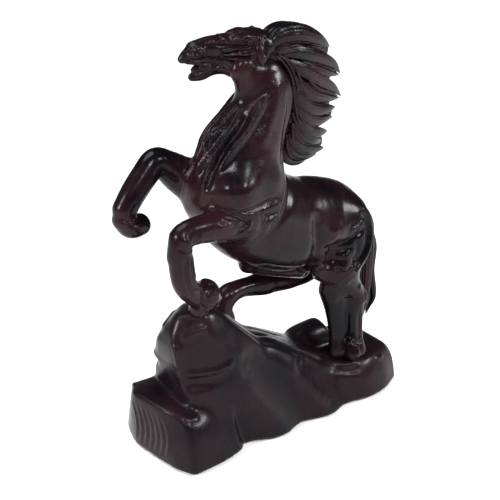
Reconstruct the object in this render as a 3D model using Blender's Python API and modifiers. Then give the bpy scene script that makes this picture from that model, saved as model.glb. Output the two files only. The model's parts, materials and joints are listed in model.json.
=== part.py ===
"""A rearing horse on a rock, built from carved blocks that are dowelled and glued together.

The figure faces -X, its left side is -Y, and +Z is up. The origin is the middle of the felt
underneath, on the surface that the figure stands on. Every block is shaped like clay on an
armature: balls along a bone, hulled in pairs, remeshed into one skin and then thinned out.
"""

import bpy
import bmesh
from mathutils import Matrix, Vector

MM = 0.001

# Driving dimensions, in millimetres
SADDLE = -3.0  # Y of the horse's own middle plane
FELT_THICKNESS = 1.0
GLUE_GAP = 0.3  # clearance between two glued blocks, and around a dowel
GROWTH = 0.45  # how far a cutting copy of a block is swollen, so that the gap stays open
DOWEL_RADIUS = 1.25
ROCK_FLOOR = FELT_THICKNESS + GLUE_GAP

# Skin settings: voxel size in millimetres, smoothing passes, share of the faces kept
BODY_SKIN = (1.9, 4, 0.075)
LIMB_SKIN = (1.3, 3, 0.12)
FINE_SKIN = (1.3, 2, 0.13)
ROCK_SKIN = (2.0, 2, 0.08)


def across(offset):
    """Y of a point that lies offset millimetres from the horse's middle plane."""
    return SADDLE + offset


# Balls along each bone: x, offset from the middle plane, z, then the radii along X, Y and Z
TRUNK = [
    (44.5, 0.0, 86.5, 11.0, 12.0, 13.0),
    (35.0, 0.0, 89.0, 17.0, 15.5, 18.5),
    (22.5, 0.0, 91.0, 20.0, 16.5, 20.5),
    (9.0, 0.0, 93.0, 21.0, 17.0, 22.0),
    (-5.0, 0.0, 101.0, 21.0, 16.5, 21.5),
    (-16.5, 0.0, 111.0, 20.0, 16.0, 21.0),
    (-25.5, 0.0, 122.0, 17.5, 15.0, 18.5),
]
NECK = [
    (-18.5, 0.0, 124.0, 23.0, 16.5, 18.5),
    (-17.5, 0.0, 137.5, 23.0, 15.0, 15.5),
    (-12.0, 0.0, 146.5, 20.0, 13.0, 13.0),
    (-4.5, 0.0, 154.5, 16.0, 11.5, 12.0),
    (-2.5, 0.0, 163.5, 13.8, 10.0, 11.0),
    (-4.0, 0.5, 170.5, 11.5, 9.0, 9.5),
]
HAUNCHES = {
    "near": [
        (40.0, -8.5, 90.0, 13.0, 9.5, 13.5),
        (41.0, -9.5, 77.0, 13.5, 9.0, 13.0),
        (33.5, -10.0, 69.5, 10.5, 8.0, 9.5),
        (24.5, -9.5, 70.5, 7.5, 6.0, 7.0),
    ],
    "far": [
        (40.0, 8.5, 90.0, 13.0, 9.5, 13.5),
        (40.0, 9.5, 76.0, 13.0, 8.5, 12.0),
        (33.0, 9.5, 67.0, 9.0, 7.5, 9.0),
    ],
}
SHOULDERS = [
    [(-24.0, -9.5, 123.0, 13.0, 7.5, 13.0), (-27.0, -11.0, 113.0, 10.0, 7.5, 9.5)],
    [(-24.0, 9.5, 123.0, 13.0, 7.5, 13.0), (-27.0, 11.0, 116.0, 10.0, 7.5, 9.5)],
]
SHEATH = [
    (-9.0, 0.0, 82.0, 4.0, 4.0, 3.5),
    (6.0, 0.0, 72.5, 4.0, 4.0, 4.0),
    (21.0, 0.0, 69.5, 4.0, 4.5, 4.5),
]

SKULL = [
    (-6.0, 1.0, 179.5, 9.0, 8.5, 8.7),
    (-14.0, 2.5, 181.5, 9.0, 8.0, 8.8),
    (-22.0, 5.0, 183.5, 7.5, 6.2, 6.8),
    (-29.5, 7.5, 184.3, 5.8, 5.0, 5.4),
    (-36.0, 9.8, 183.5, 4.8, 4.6, 4.8),
    (-39.3, 10.8, 180.5, 2.6, 3.0, 2.2),
]
JAW = [
    (-10.0, 1.5, 173.0, 8.0, 6.8, 7.0),
    (-19.5, 4.5, 175.5, 5.5, 4.8, 5.0),
    (-27.5, 7.0, 176.0, 3.2, 3.6, 3.0),
    (-33.5, 9.0, 173.3, 2.8, 3.2, 2.4),
]
EARS = [
    [(-2.0, -4.5, 184.0, 3.0, 3.0, 3.0), (4.5, -5.5, 186.5, 1.6, 1.6, 1.6)],
    [(-2.0, 5.0, 184.0, 3.0, 3.0, 3.0), (4.5, 6.5, 187.0, 1.6, 1.6, 1.6)],
]

NEAR_FORELEG = [
    (-27.5, -12.5, 111.0, 8.5, 7.5, 8.5),
    (-38.0, -13.5, 111.5, 8.0, 7.0, 7.6),
    (-50.0, -13.5, 113.0, 6.8, 6.4, 6.8),
    (-59.0, -12.0, 112.5, 5.8, 5.8, 6.2),
    (-60.0, -12.0, 104.0, 6.1, 5.8, 5.8),
    (-60.0, -12.0, 97.0, 6.4, 6.0, 5.8),
    (-58.0, -12.0, 89.0, 6.4, 6.0, 5.8),
    (-52.5, -11.0, 82.0, 5.8, 5.6, 5.2),
    (-46.0, -9.5, 80.0, 7.2, 6.8, 7.4),
    (-49.0, -9.5, 74.5, 5.2, 5.2, 4.5),
]
FAR_FORELEG = [
    (-27.0, 13.0, 117.0, 11.0, 8.0, 10.5),
    (-37.0, 15.0, 125.5, 9.0, 7.5, 9.0),
    (-46.0, 16.0, 133.0, 6.5, 6.2, 6.5),
    (-51.5, 16.5, 136.5, 5.8, 5.6, 5.8),
    (-57.0, 16.5, 131.5, 6.0, 5.8, 5.8),
    (-63.0, 16.5, 125.0, 5.8, 5.6, 5.8),
    (-68.5, 16.5, 118.5, 5.6, 5.6, 5.4),
    (-68.5, 16.0, 111.0, 5.6, 6.4, 5.4),
    (-62.0, 16.0, 109.0, 5.6, 6.4, 5.4),
]
NEAR_HIND_LEG = [
    (36.0, -11.0, 64.0, 9.5, 7.5, 7.5),
    (42.5, -12.5, 57.5, 6.2, 5.8, 5.8),
    (43.0, -14.0, 50.0, 4.6, 5.0, 4.8),
    (41.5, -16.0, 41.5, 4.2, 4.4, 4.0),
    (39.5, -17.5, 33.0, 4.2, 4.4, 4.0),
    (38.5, -18.0, 26.0, 5.2, 5.0, 4.6),
]
SUPPORT_WEB = [
    (36.0, -10.0, 60.0, 8.0, 6.0, 7.0),
    (34.0, -11.0, 46.0, 7.0, 5.5, 6.0),
    (33.5, -13.5, 34.0, 5.5, 5.0, 5.5),
    (33.5, -14.5, 26.0, 6.0, 5.0, 5.0),
]
FAR_HIND_LEG = [
    (36.0, 9.0, 62.0, 8.5, 6.5, 7.5),
    (28.0, 9.5, 54.0, 5.8, 5.4, 5.6),
    (14.0, 9.5, 54.0, 5.0, 5.0, 5.0),
    (-1.0, 9.5, 56.5, 4.8, 4.8, 4.8),
    (-12.5, 9.0, 58.0, 4.9, 4.9, 4.9),
    (-18.5, 8.5, 54.0, 5.6, 5.4, 5.2),
]
TAIL = [
    (50.0, 0.0, 95.0, 4.0, 4.0, 4.0),
    (57.0, -0.5, 86.0, 4.6, 5.0, 4.6),
    (60.0, -1.0, 73.0, 5.0, 6.5, 5.0),
    (60.0, -2.0, 58.0, 5.2, 7.5, 5.0),
    (59.0, -4.0, 44.0, 5.2, 7.0, 5.0),
    (55.0, -6.0, 34.5, 4.0, 4.5, 4.0),
]
# Locks of the mane, each running from the crest of the neck out to its tip
MANE = [
    [
        (-1.0, 0.0, 182.5, 5.0, 5.5, 4.5),
        (9.0, 0.5, 185.0, 6.0, 6.5, 6.2),
        (22.0, 0.0, 183.5, 6.0, 5.0, 6.0),
        (33.5, 0.0, 177.0, 2.2, 1.8, 2.2),
    ],
    [
        (6.0, 0.0, 176.0, 6.0, 7.5, 7.0),
        (18.0, 0.0, 176.0, 7.5, 7.0, 6.5),
        (31.0, 0.0, 170.0, 6.0, 5.0, 5.0),
        (40.5, 0.0, 162.5, 2.2, 1.8, 2.2),
    ],
    [
        (8.0, 0.0, 166.0, 6.0, 7.5, 8.0),
        (20.0, 0.0, 166.0, 8.0, 7.0, 7.0),
        (33.0, 0.0, 159.0, 6.0, 5.0, 5.5),
        (41.0, 0.0, 151.5, 2.2, 1.8, 2.2),
    ],
    [
        (8.0, 0.0, 154.0, 6.0, 7.0, 8.0),
        (20.0, 0.0, 154.0, 8.0, 6.5, 8.0),
        (31.0, 0.0, 147.0, 6.0, 4.5, 6.0),
        (35.0, 0.0, 139.5, 2.4, 2.0, 2.4),
    ],
    [
        (6.0, 0.0, 142.0, 5.0, 6.0, 7.0),
        (17.0, 0.0, 142.5, 7.0, 5.5, 8.0),
        (26.0, 0.0, 136.0, 6.0, 4.5, 6.0),
        (31.0, 0.0, 130.5, 2.6, 2.4, 2.6),
    ],
    [
        (4.0, 0.0, 134.0, 4.5, 5.0, 5.5),
        (13.0, 0.0, 133.0, 6.0, 4.5, 6.5),
        (22.0, 0.0, 128.5, 4.0, 4.0, 4.0),
    ],
]

# Corner points of the rock's boulders, each list hulled into one boulder
FRONT_LEDGE = [
    (-69.0, -19.5, 3.0),
    (-65.5, -28.5, 3.0),
    (-37.0, -27.5, 3.0),
    (-30.0, 23.0, 3.0),
    (-63.0, 24.5, 3.0),
    (-69.5, 8.0, 3.0),
    (-68.0, -12.5, 27.5),
    (-60.0, -18.5, 24.0),
    (-42.0, -20.0, 27.0),
    (-38.0, 18.0, 25.0),
    (-62.0, 20.0, 25.0),
    (-70.0, 10.0, 27.5),
]
BOULDER = [
    (-52.0, -16.0, 3.0),
    (-34.0, -22.0, 3.0),
    (2.0, -26.0, 3.0),
    (6.0, 22.0, 3.0),
    (-48.0, 23.0, 3.0),
    (-56.0, -7.5, 33.0),
    (-60.0, -12.0, 42.5),
    (-42.0, -19.0, 42.5),
    (-60.5, -7.0, 58.0),
    (-60.5, 4.0, 54.0),
    (-54.0, 12.0, 48.0),
    (-53.5, -6.5, 69.0),
    (-44.0, -13.0, 69.0),
    (-37.0, -11.0, 67.0),
    (-44.0, 6.0, 66.0),
    (-30.0, 12.0, 52.0),
    (-20.0, -15.0, 49.0),
    (-14.0, 8.0, 48.0),
    (-6.0, 20.0, 26.0),
]
RIDGE = [
    (-20.0, -22.5, 3.0),
    (34.0, -27.5, 3.0),
    (34.0, 22.0, 3.0),
    (-20.0, 22.0, 3.0),
    (-26.0, -12.0, 53.0),
    (-16.0, 7.0, 47.0),
    (0.0, -13.0, 35.0),
    (6.0, 8.0, 36.0),
    (22.0, -16.0, 22.0),
    (26.0, 8.0, 25.0),
    (0.0, 18.0, 24.0),
    (24.0, 18.0, 18.0),
]
REAR_LEDGE = [
    (16.0, -28.0, 3.0),
    (56.5, -27.5, 3.0),
    (66.5, -21.5, 3.0),
    (67.0, 14.0, 3.0),
    (54.0, 23.0, 3.0),
    (20.0, 23.0, 3.0),
    (29.0, -18.5, 21.5),
    (50.0, -24.5, 21.5),
    (62.5, -19.5, 21.0),
    (65.0, 8.0, 19.0),
    (52.0, 20.0, 18.0),
    (24.0, 18.0, 20.0),
    (22.0, -15.0, 22.0),
]
FAR_LUMP = [
    (24.0, 0.0, 14.0),
    (50.0, -2.0, 14.0),
    (54.0, 16.0, 14.0),
    (28.0, 19.0, 14.0),
    (27.0, 0.0, 28.0),
    (36.0, -1.0, 32.5),
    (47.0, 4.0, 30.0),
    (44.0, 14.0, 28.0),
    (30.0, 14.0, 27.0),
]
FORE_STEP = [
    (-30.0, 2.0, 40.0),
    (-8.0, 2.0, 40.0),
    (-8.0, 16.0, 38.0),
    (-30.0, 16.0, 40.0),
    (-26.0, 5.0, 51.0),
    (-13.0, 5.0, 50.0),
    (-14.0, 13.0, 49.0),
    (-26.0, 13.0, 51.0),
]
# Diagonal swells on the near side of the rock
SWELLS = [
    [
        (-38.0, -12.5, 46.0, 8.0, 8.0, 8.0),
        (-23.0, -17.5, 27.0, 8.0, 7.5, 7.0),
        (-10.0, -21.5, 8.0, 8.0, 7.0, 6.0),
    ],
    [
        (-2.0, -14.0, 28.0, 8.0, 7.0, 6.0),
        (8.5, -18.5, 15.0, 8.0, 7.0, 6.0),
        (18.0, -22.0, 8.0, 8.0, 7.0, 6.0),
    ],
    [
        (-43.0, -18.0, 18.0, 11.0, 9.0, 9.0),
        (-42.0, -19.0, 9.0, 12.0, 9.0, 7.0),
    ],
]
BOULDER_ROUNDING = 1.5

# Where the felt lies on the underside of the rock
FELT_OUTLINE = [
    (-60.0, -21.0),
    (54.0, -21.0),
    (61.0, -15.0),
    (61.0, 12.0),
    (51.0, 18.0),
    (-56.0, 18.0),
    (-62.0, 6.0),
    (-62.0, -15.0),
]

# Dowels: name, the two blocks that it joins, and its two ends
DOWELS = [
    ("head_dowel", "horse_body", "horse_head", (-3.5, 0.0, 163.0), (-12.5, 2.2, 183.0)),
    ("near_foreleg_dowel", "horse_body", "near_foreleg", (-27.0, -3.5, 112.0), (-36.5, -15.5, 111.5)),
    ("far_foreleg_dowel", "horse_body", "far_foreleg", (-24.0, 3.0, 116.0), (-39.0, 16.0, 127.5)),
    ("near_hind_leg_dowel", "horse_body", "near_hind_leg", (36.5, -10.0, 77.0), (37.0, -11.5, 57.0)),
    ("far_hind_leg_dowel", "horse_body", "far_hind_leg", (38.0, 9.5, 73.0), (32.5, 9.2, 58.0)),
    ("tail_dowel", "horse_body", "tail", (44.0, 0.0, 87.0), (59.0, -0.5, 82.5)),
    ("upper_mane_dowel", "horse_body", "mane", (0.0, 0.0, 160.0), (20.0, 0.0, 167.0)),
    ("lower_mane_dowel", "horse_body", "mane", (-6.0, 0.0, 140.0), (15.0, 0.0, 143.0)),
    ("near_fore_hoof_dowel", "rock_base", "near_foreleg", (-46.0, -7.0, 55.0), (-46.5, -9.3, 80.0)),
    ("near_hind_hoof_dowel", "rock_base", "near_hind_leg", (37.2, -13.8, 9.0), (37.8, -15.2, 32.0)),
    ("far_hind_hoof_dowel", "rock_base", "far_hind_leg", (-19.0, 8.5, 36.0), (-18.0, 8.5, 55.0)),
]


def clear_scene():
    """Removes whatever the file holds."""
    for obj in list(bpy.data.objects):
        bpy.data.objects.remove(obj)


def new_collection(name, hidden=False):
    """A collection in the scene. A hidden one is left out of renders."""
    collection = bpy.data.collections.new(name)
    bpy.context.scene.collection.children.link(collection)
    collection.hide_render = hidden
    return collection


def material(name, colour, roughness):
    """A plain finish: linear colour and roughness."""
    finish = bpy.data.materials.new(name)
    finish.use_nodes = True
    shader = finish.node_tree.nodes["Principled BSDF"]
    shader.inputs["Base Color"].default_value = (*colour, 1.0)
    shader.inputs["Roughness"].default_value = roughness
    shader.inputs["Metallic"].default_value = 0.0
    return finish


def on_middle_plane(ball):
    """A ball's centre and radii in metres, with its offset made a Y."""
    x, offset, z, rx, ry, rz = ball
    return Vector((x, across(offset), z)) * MM, Vector((rx, ry, rz)) * MM


def in_place(ball):
    """A ball's centre and radii in metres, with Y as it stands."""
    return Vector(ball[:3]) * MM, Vector(ball[3:]) * MM


def ball_points(subdivisions):
    """The corner points of a unit icosphere."""
    mesh = bmesh.new()
    bmesh.ops.create_icosphere(mesh, subdivisions=subdivisions, radius=1.0)
    points = [vert.co.copy() for vert in mesh.verts]
    mesh.free()
    return points


BALL = ball_points(3)
CORNER_BALL = ball_points(1)


def add_hull(mesh, points):
    """Wraps these points in their convex hull and drops those left inside."""
    verts = [mesh.verts.new(point) for point in points]
    made = bmesh.ops.convex_hull(mesh, input=verts)
    spare = {v for v in made["geom_interior"] + made["geom_unused"] if isinstance(v, bmesh.types.BMVert)}
    bmesh.ops.delete(mesh, geom=list(spare), context="VERTS")


def add_bone(mesh, balls, placed=on_middle_plane):
    """Adds one closed hull for each pair of neighbouring balls."""
    for pair in zip(balls, balls[1:]):
        points = []
        for ball in pair:
            centre, radii = placed(ball)
            points += [centre + radii * point for point in BALL]
        add_hull(mesh, points)


def add_boulder(mesh, corners):
    """Adds the hull of small balls at the corners, which makes a block with rounded edges."""
    rounded = [Vector(corner) + point * BOULDER_ROUNDING for corner in corners for point in CORNER_BALL]
    add_hull(mesh, [point * MM for point in rounded])


def new_object(name, mesh, collection, finish=None):
    """Makes an object from a bmesh."""
    data = bpy.data.meshes.new(name)
    mesh.to_mesh(data)
    mesh.free()
    obj = bpy.data.objects.new(name, data)
    collection.objects.link(obj)
    if finish:
        data.materials.append(finish)
    return obj


def add_skin(obj, skin):
    """Fuses an object's hulls into one smooth skin with few faces."""
    voxel, passes, share = skin
    remesh = obj.modifiers.new("Fuse", "REMESH")
    remesh.mode = "VOXEL"
    remesh.voxel_size = voxel * MM
    remesh.use_smooth_shade = True
    smooth = obj.modifiers.new("Soften", "SMOOTH")
    smooth.factor = 0.5
    smooth.iterations = passes
    thin = obj.modifiers.new("Thin", "DECIMATE")
    thin.ratio = share


def block(name, bones, skin, collection, finish):
    """One carved block: the fused skin of its bones."""
    mesh = bmesh.new()
    for bone in bones:
        add_bone(mesh, bone)
    obj = new_object(name, mesh, collection, finish)
    add_skin(obj, skin)
    return obj


def rock(name, collection, finish):
    """The rock, from rounded boulders and diagonal swells."""
    mesh = bmesh.new()
    for corners in (FRONT_LEDGE, BOULDER, RIDGE, REAR_LEDGE, FAR_LUMP, FORE_STEP):
        add_boulder(mesh, corners)
    for swell in SWELLS:
        add_bone(mesh, swell, in_place)
    obj = new_object(name, mesh, collection, finish)
    add_skin(obj, ROCK_SKIN)
    return obj


def as_cutter(obj):
    """Marks an object as a cutter, which isn't part of the figure."""
    obj.hide_render = True
    obj.display_type = "WIRE"
    return obj


def swollen(obj, collection):
    """A copy of a block whose skin stands out by GROWTH, for cutting its neighbours."""
    copy = obj.copy()
    copy.name = f"{obj.name}_swollen"
    collection.objects.link(copy)
    for modifier in [m for m in copy.modifiers if m.type == "BOOLEAN"]:
        copy.modifiers.remove(modifier)
    grow = copy.modifiers.new("Grow", "DISPLACE")
    grow.strength = GROWTH * MM
    grow.mid_level = 0.0
    return as_cutter(copy)


def cut(obj, cutter):
    """Takes the cutter's shape out of the object."""
    boolean = obj.modifiers.new(f"Cut {cutter.name}", "BOOLEAN")
    boolean.operation = "DIFFERENCE"
    boolean.object = cutter


def box_cutter(name, low, high, collection):
    """A box cutter between two corners, in millimetres."""
    mesh = bmesh.new()
    size = (Vector(high) - Vector(low)) * MM
    centre = (Vector(high) + Vector(low)) * MM / 2
    shape = Matrix.Translation(centre) @ Matrix.Diagonal((*size, 1.0))
    bmesh.ops.create_cube(mesh, size=1.0, matrix=shape)
    return as_cutter(new_object(name, mesh, collection))


def rod(name, start, end, radius, collection, finish=None, sides=12):
    """A round rod between two points, in millimetres, closed at both ends."""
    line = (end - start) * MM
    turn = line.to_track_quat("Z", "Y").to_matrix().to_4x4()
    mesh = bmesh.new()
    bmesh.ops.create_cone(
        mesh, cap_ends=True, segments=sides, radius1=radius * MM, radius2=radius * MM, depth=line.length
    )
    obj = new_object(name, mesh, collection, finish)
    obj.matrix_world = Matrix.Translation((start + end) * MM / 2) @ turn
    for polygon in obj.data.polygons:
        polygon.use_smooth = len(polygon.vertices) == 4
    return obj


def add_dowel(entry, blocks, parts, cutters, finish):
    """A dowel, and its blind hole in each of the two blocks that it joins."""
    name, first, second, low, high = entry
    start = Vector((low[0], across(low[1]), low[2]))
    end = Vector((high[0], across(high[1]), high[2]))
    rod(name, start, end, DOWEL_RADIUS, parts, finish)
    spare = (end - start).normalized() * GLUE_GAP
    hole = rod(f"{name}_hole", start - spare, end + spare, DOWEL_RADIUS + GLUE_GAP, cutters)
    as_cutter(hole)
    cut(blocks[first], hole)
    cut(blocks[second], hole)


def felt_sheet(name, collection, finish):
    """The felt glued under the rock: a flat outline, extruded by its thickness."""
    curve = bpy.data.curves.new(name, "CURVE")
    curve.dimensions = "2D"
    curve.fill_mode = "BOTH"
    curve.extrude = FELT_THICKNESS * MM / 2
    spline = curve.splines.new("POLY")
    spline.points.add(len(FELT_OUTLINE) - 1)
    for point, (x, y) in zip(spline.points, FELT_OUTLINE):
        point.co = (x * MM, y * MM, 0.0, 1.0)
    spline.use_cyclic_u = True
    curve.materials.append(finish)
    obj = bpy.data.objects.new(name, curve)
    obj.location.z = FELT_THICKNESS * MM / 2
    collection.objects.link(obj)
    return obj


def build():
    """Makes every block, dowel and sheet of the figure."""
    clear_scene()
    parts = new_collection("Rearing horse figurine")
    cutters = new_collection("Cutters", hidden=True)
    carved = material("carved blackwood", (0.022, 0.010, 0.011), 0.32)
    stone = material("rock blackwood", (0.020, 0.011, 0.012), 0.42)
    beech = material("beech dowel", (0.45, 0.28, 0.14), 0.6)
    felt = material("black felt", (0.02, 0.02, 0.022), 0.95)

    blocks = {
        "horse_body": block(
            "horse_body", [TRUNK, NECK, *HAUNCHES.values(), *SHOULDERS, SHEATH], BODY_SKIN, parts, carved
        ),
        "horse_head": block("horse_head", [SKULL, JAW, *EARS], FINE_SKIN, parts, carved),
        "mane": block("mane", MANE, FINE_SKIN, parts, carved),
        "near_foreleg": block("near_foreleg", [NEAR_FORELEG], LIMB_SKIN, parts, carved),
        "far_foreleg": block("far_foreleg", [FAR_FORELEG], LIMB_SKIN, parts, carved),
        "near_hind_leg": block("near_hind_leg", [NEAR_HIND_LEG, SUPPORT_WEB], LIMB_SKIN, parts, carved),
        "far_hind_leg": block("far_hind_leg", [FAR_HIND_LEG], LIMB_SKIN, parts, carved),
        "tail": block("tail", [TAIL], LIMB_SKIN, parts, carved),
        "rock_base": rock("rock_base", parts, stone),
    }
    swollen_body = swollen(blocks["horse_body"], cutters)
    swollen_head = swollen(blocks["horse_head"], cutters)
    swollen_rock = swollen(blocks["rock_base"], cutters)
    legs = ("near_foreleg", "far_foreleg", "near_hind_leg", "far_hind_leg")
    for name in ("horse_head", "mane", "tail", *legs):
        cut(blocks[name], swollen_body)
    cut(blocks["mane"], swollen_head)
    for name in ("near_foreleg", "near_hind_leg", "far_hind_leg"):
        cut(blocks[name], swollen_rock)
    floor = box_cutter("floor_cutter", (-90.0, -50.0, -10.0), (90.0, 50.0, ROCK_FLOOR), cutters)
    cut(blocks["rock_base"], floor)
    for entry in DOWELS:
        add_dowel(entry, blocks, parts, cutters, beech)
    felt_sheet("base_felt", parts, felt)


build()
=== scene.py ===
# %% [markdown]
# # A rearing horse carved in dark wood
#
# The figurine is a horse that rears on a rock. It was carved from blocks of dark hardwood that were
# dowelled and glued together, then lacquered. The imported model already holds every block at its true
# place and size, but with plain faceted skins. This lesson carves the fine skin of each block.
#
# A carved animal could be made by moving a subdivided cage, by sculpting brushes, or by distances: each
# muscle is a rounded form, and a formula tells how far any point of space lies from it. Distances were
# chosen, because two of them melt into each other with one line of arithmetic, as clay does.

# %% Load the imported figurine
import json
import math
import bmesh
import bpy
import numpy as np
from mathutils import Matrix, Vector

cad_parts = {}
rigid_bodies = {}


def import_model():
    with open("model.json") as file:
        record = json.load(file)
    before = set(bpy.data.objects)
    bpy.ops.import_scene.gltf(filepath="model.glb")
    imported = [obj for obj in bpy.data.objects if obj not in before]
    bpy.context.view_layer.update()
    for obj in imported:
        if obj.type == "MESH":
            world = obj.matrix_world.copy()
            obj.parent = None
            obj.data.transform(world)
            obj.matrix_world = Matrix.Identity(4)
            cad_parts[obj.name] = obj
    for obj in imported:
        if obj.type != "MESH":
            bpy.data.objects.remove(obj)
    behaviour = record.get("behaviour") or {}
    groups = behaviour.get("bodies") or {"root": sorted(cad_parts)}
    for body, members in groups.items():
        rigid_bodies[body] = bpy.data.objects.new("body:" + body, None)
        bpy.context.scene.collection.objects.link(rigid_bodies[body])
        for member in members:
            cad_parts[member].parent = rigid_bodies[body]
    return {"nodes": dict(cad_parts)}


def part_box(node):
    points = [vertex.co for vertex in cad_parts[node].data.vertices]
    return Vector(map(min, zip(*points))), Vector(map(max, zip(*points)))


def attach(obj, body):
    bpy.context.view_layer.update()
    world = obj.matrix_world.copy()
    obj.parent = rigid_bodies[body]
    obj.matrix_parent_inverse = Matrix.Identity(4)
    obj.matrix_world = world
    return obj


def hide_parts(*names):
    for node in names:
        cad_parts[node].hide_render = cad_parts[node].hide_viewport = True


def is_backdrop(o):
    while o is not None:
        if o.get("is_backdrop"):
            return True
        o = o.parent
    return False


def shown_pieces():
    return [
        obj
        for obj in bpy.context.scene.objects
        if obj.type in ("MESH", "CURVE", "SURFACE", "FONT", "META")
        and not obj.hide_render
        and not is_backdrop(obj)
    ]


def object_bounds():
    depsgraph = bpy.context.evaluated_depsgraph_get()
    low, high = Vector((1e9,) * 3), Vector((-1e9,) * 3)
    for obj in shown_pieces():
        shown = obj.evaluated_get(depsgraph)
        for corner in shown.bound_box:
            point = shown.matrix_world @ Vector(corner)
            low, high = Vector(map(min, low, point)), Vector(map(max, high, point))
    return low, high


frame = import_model()
cad_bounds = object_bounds()
print("blocks and dowels in the frame:", len(frame["nodes"]))

# %% [markdown]
# ## The carver's drawing and its scale
#
# All forms below are drawn in millimetres for a horse of a set height. The real height comes from the
# frame, and one factor turns the drawing's millimetres into the frame's metres. The horse has a middle
# plane of its own, a little nearer to its left side than the middle of the rock.

# %% Scale of the drawing
DRAWN_HEIGHT = 191.1
cad_low, cad_high = (np.array(corner, float) for corner in cad_bounds)
UNIT = (cad_high[2] - cad_low[2]) / DRAWN_HEIGHT
SADDLE = -3.0
print(f"one drawn millimetre is {UNIT * 1000:.4f} mm")

# %% [markdown]
# ## Clay: a grid of distances
#
# The clay is a box of sample points, and each holds its distance to the skin, negative inside. A bone is
# a chain of balls: a smooth curve runs through their centres, and the rods between the curve's points
# have the radii of the balls. Two distances are joined with a smooth minimum, which leaves a fillet.
# A smooth maximum cuts one form out of another.

# %% Distances and their blends
FAR_AWAY = 60.0
MARGIN = 9.0


def smooth_min(a, b, blend):
    """The smaller of two distances, less a fillet of up to a quarter of blend where they are alike."""
    share = np.clip(0.5 + 0.5 * (b - a) / blend, 0.0, 1.0)
    return b * (1.0 - share) + a * share - blend * share * (1.0 - share)


def smooth_max(a, b, blend):
    """The larger of two distances, with a fillet where they are alike."""
    return -smooth_min(-a, -b, blend)


def through(points, per_span=4):
    """A smooth curve through the points: on each span, the cubic whose slope at a point is half the way
    from the point before to the point after."""
    p = np.asarray(points, float)
    if len(p) < 3:
        return p
    p = np.vstack([2 * p[0] - p[1], p, 2 * p[-1] - p[-2]])
    t = np.linspace(0.0, 1.0, per_span, endpoint=False)[None, :, None]
    a, b, c, d = (p[i : len(p) - 3 + i, None, :] for i in range(4))
    cubic = 0.5 * (2 * b + (c - a) * t + (2 * a - 5 * b + 4 * c - d) * t**2 + (3 * b - a - 3 * c + d) * t**3)
    return np.vstack([cubic.reshape(-1, p.shape[1]), p[-2]])


class Clay:
    """A box of sample points, each holding its distance to the skin in drawn millimetres."""

    def __init__(self, low, high, step):
        self.low, self.step = np.asarray(low, float), step
        self.count = np.ceil((np.asarray(high, float) - self.low) / step).astype(int) + 1
        self.field = np.full(self.count, FAR_AWAY, np.float32)

    def window(self, low, high):
        """The samples inside a box: their slices, and their coordinates as open grids."""
        first = np.clip(((np.asarray(low) - self.low) / self.step).astype(int), 0, self.count - 1)
        last = np.clip(np.ceil((np.asarray(high) - self.low) / self.step).astype(int) + 1, 1, self.count)
        lines = [self.low[i] + self.step * np.arange(first[i], last[i]) for i in range(3)]
        grids = np.meshgrid(*(line.astype(np.float32) for line in lines), indexing="ij", sparse=True)
        return tuple(slice(a, b) for a, b in zip(first, last)), grids

    def bone(self, balls, blend=2.0, flat=(1.0, 1.0, 1.0), per_span=4, offset=SADDLE):
        """Melts a chain of balls (x, offset from the middle plane, z, radius) into the clay. The distance
        to a rod is the distance to its axis less the radius there, measured in space divided by flat."""
        chain = through(balls, per_span)
        chain[:, 1] += offset
        flat = np.asarray(flat, float)
        reach = chain[:, 3:] * flat + MARGIN
        here, grids = self.window((chain[:, :3] - reach).min(0), (chain[:, :3] + reach).max(0))
        if min(s.stop - s.start for s in here) <= 0:
            return self
        nearest = np.full([s.stop - s.start for s in here], FAR_AWAY, np.float32)
        squeezed = [grid / scale for grid, scale in zip(grids, flat.astype(np.float32))]
        for start, end in zip(chain, chain[1:]):
            a, b = start[:3] / flat, end[:3] / flat
            line = b - a
            along = sum((g - p) * v for g, p, v in zip(squeezed, a, line)) / max(line @ line, 1e-9)
            along = np.clip(along, 0.0, 1.0)
            square = sum((g - p - along * v) ** 2 for g, p, v in zip(squeezed, a, line))
            rod = np.sqrt(square) - (start[3] + along * (end[3] - start[3]))
            np.minimum(nearest, rod, out=nearest)
        nearest *= flat.min()
        if blend:
            self.field[here] = smooth_min(self.field[here], nearest, blend)
        else:
            np.minimum(self.field[here], nearest, out=self.field[here])
        return self

    def hollow(self, balls, blend=1.5, flat=(1.0, 1.0, 1.0), offset=SADDLE):
        """Cuts a chain of balls out of the clay."""
        tool = Clay(self.low, self.low + (self.count - 1) * self.step, self.step)
        tool.bone(balls, 0, flat, offset=offset)
        self.field = smooth_max(self.field, -tool.field, blend)
        return self


print("fillet where two skins meet, blend 3 mm:", -float(smooth_min(0.0, 0.0, 3.0)), "mm")


# %% [markdown]
# ## From distances to a skin
#
# The skin lies where the distance is zero. Every grid cell that the skin passes through gets one point,
# at the mean of the places where the skin crosses the cell's edges, and every grid edge that the skin
# crosses gets one four-sided face between the four cells around it. This is worked out for all cells at
# once. A grid of squares on the surface would be simpler, but no single sheet wraps a horse.

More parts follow.
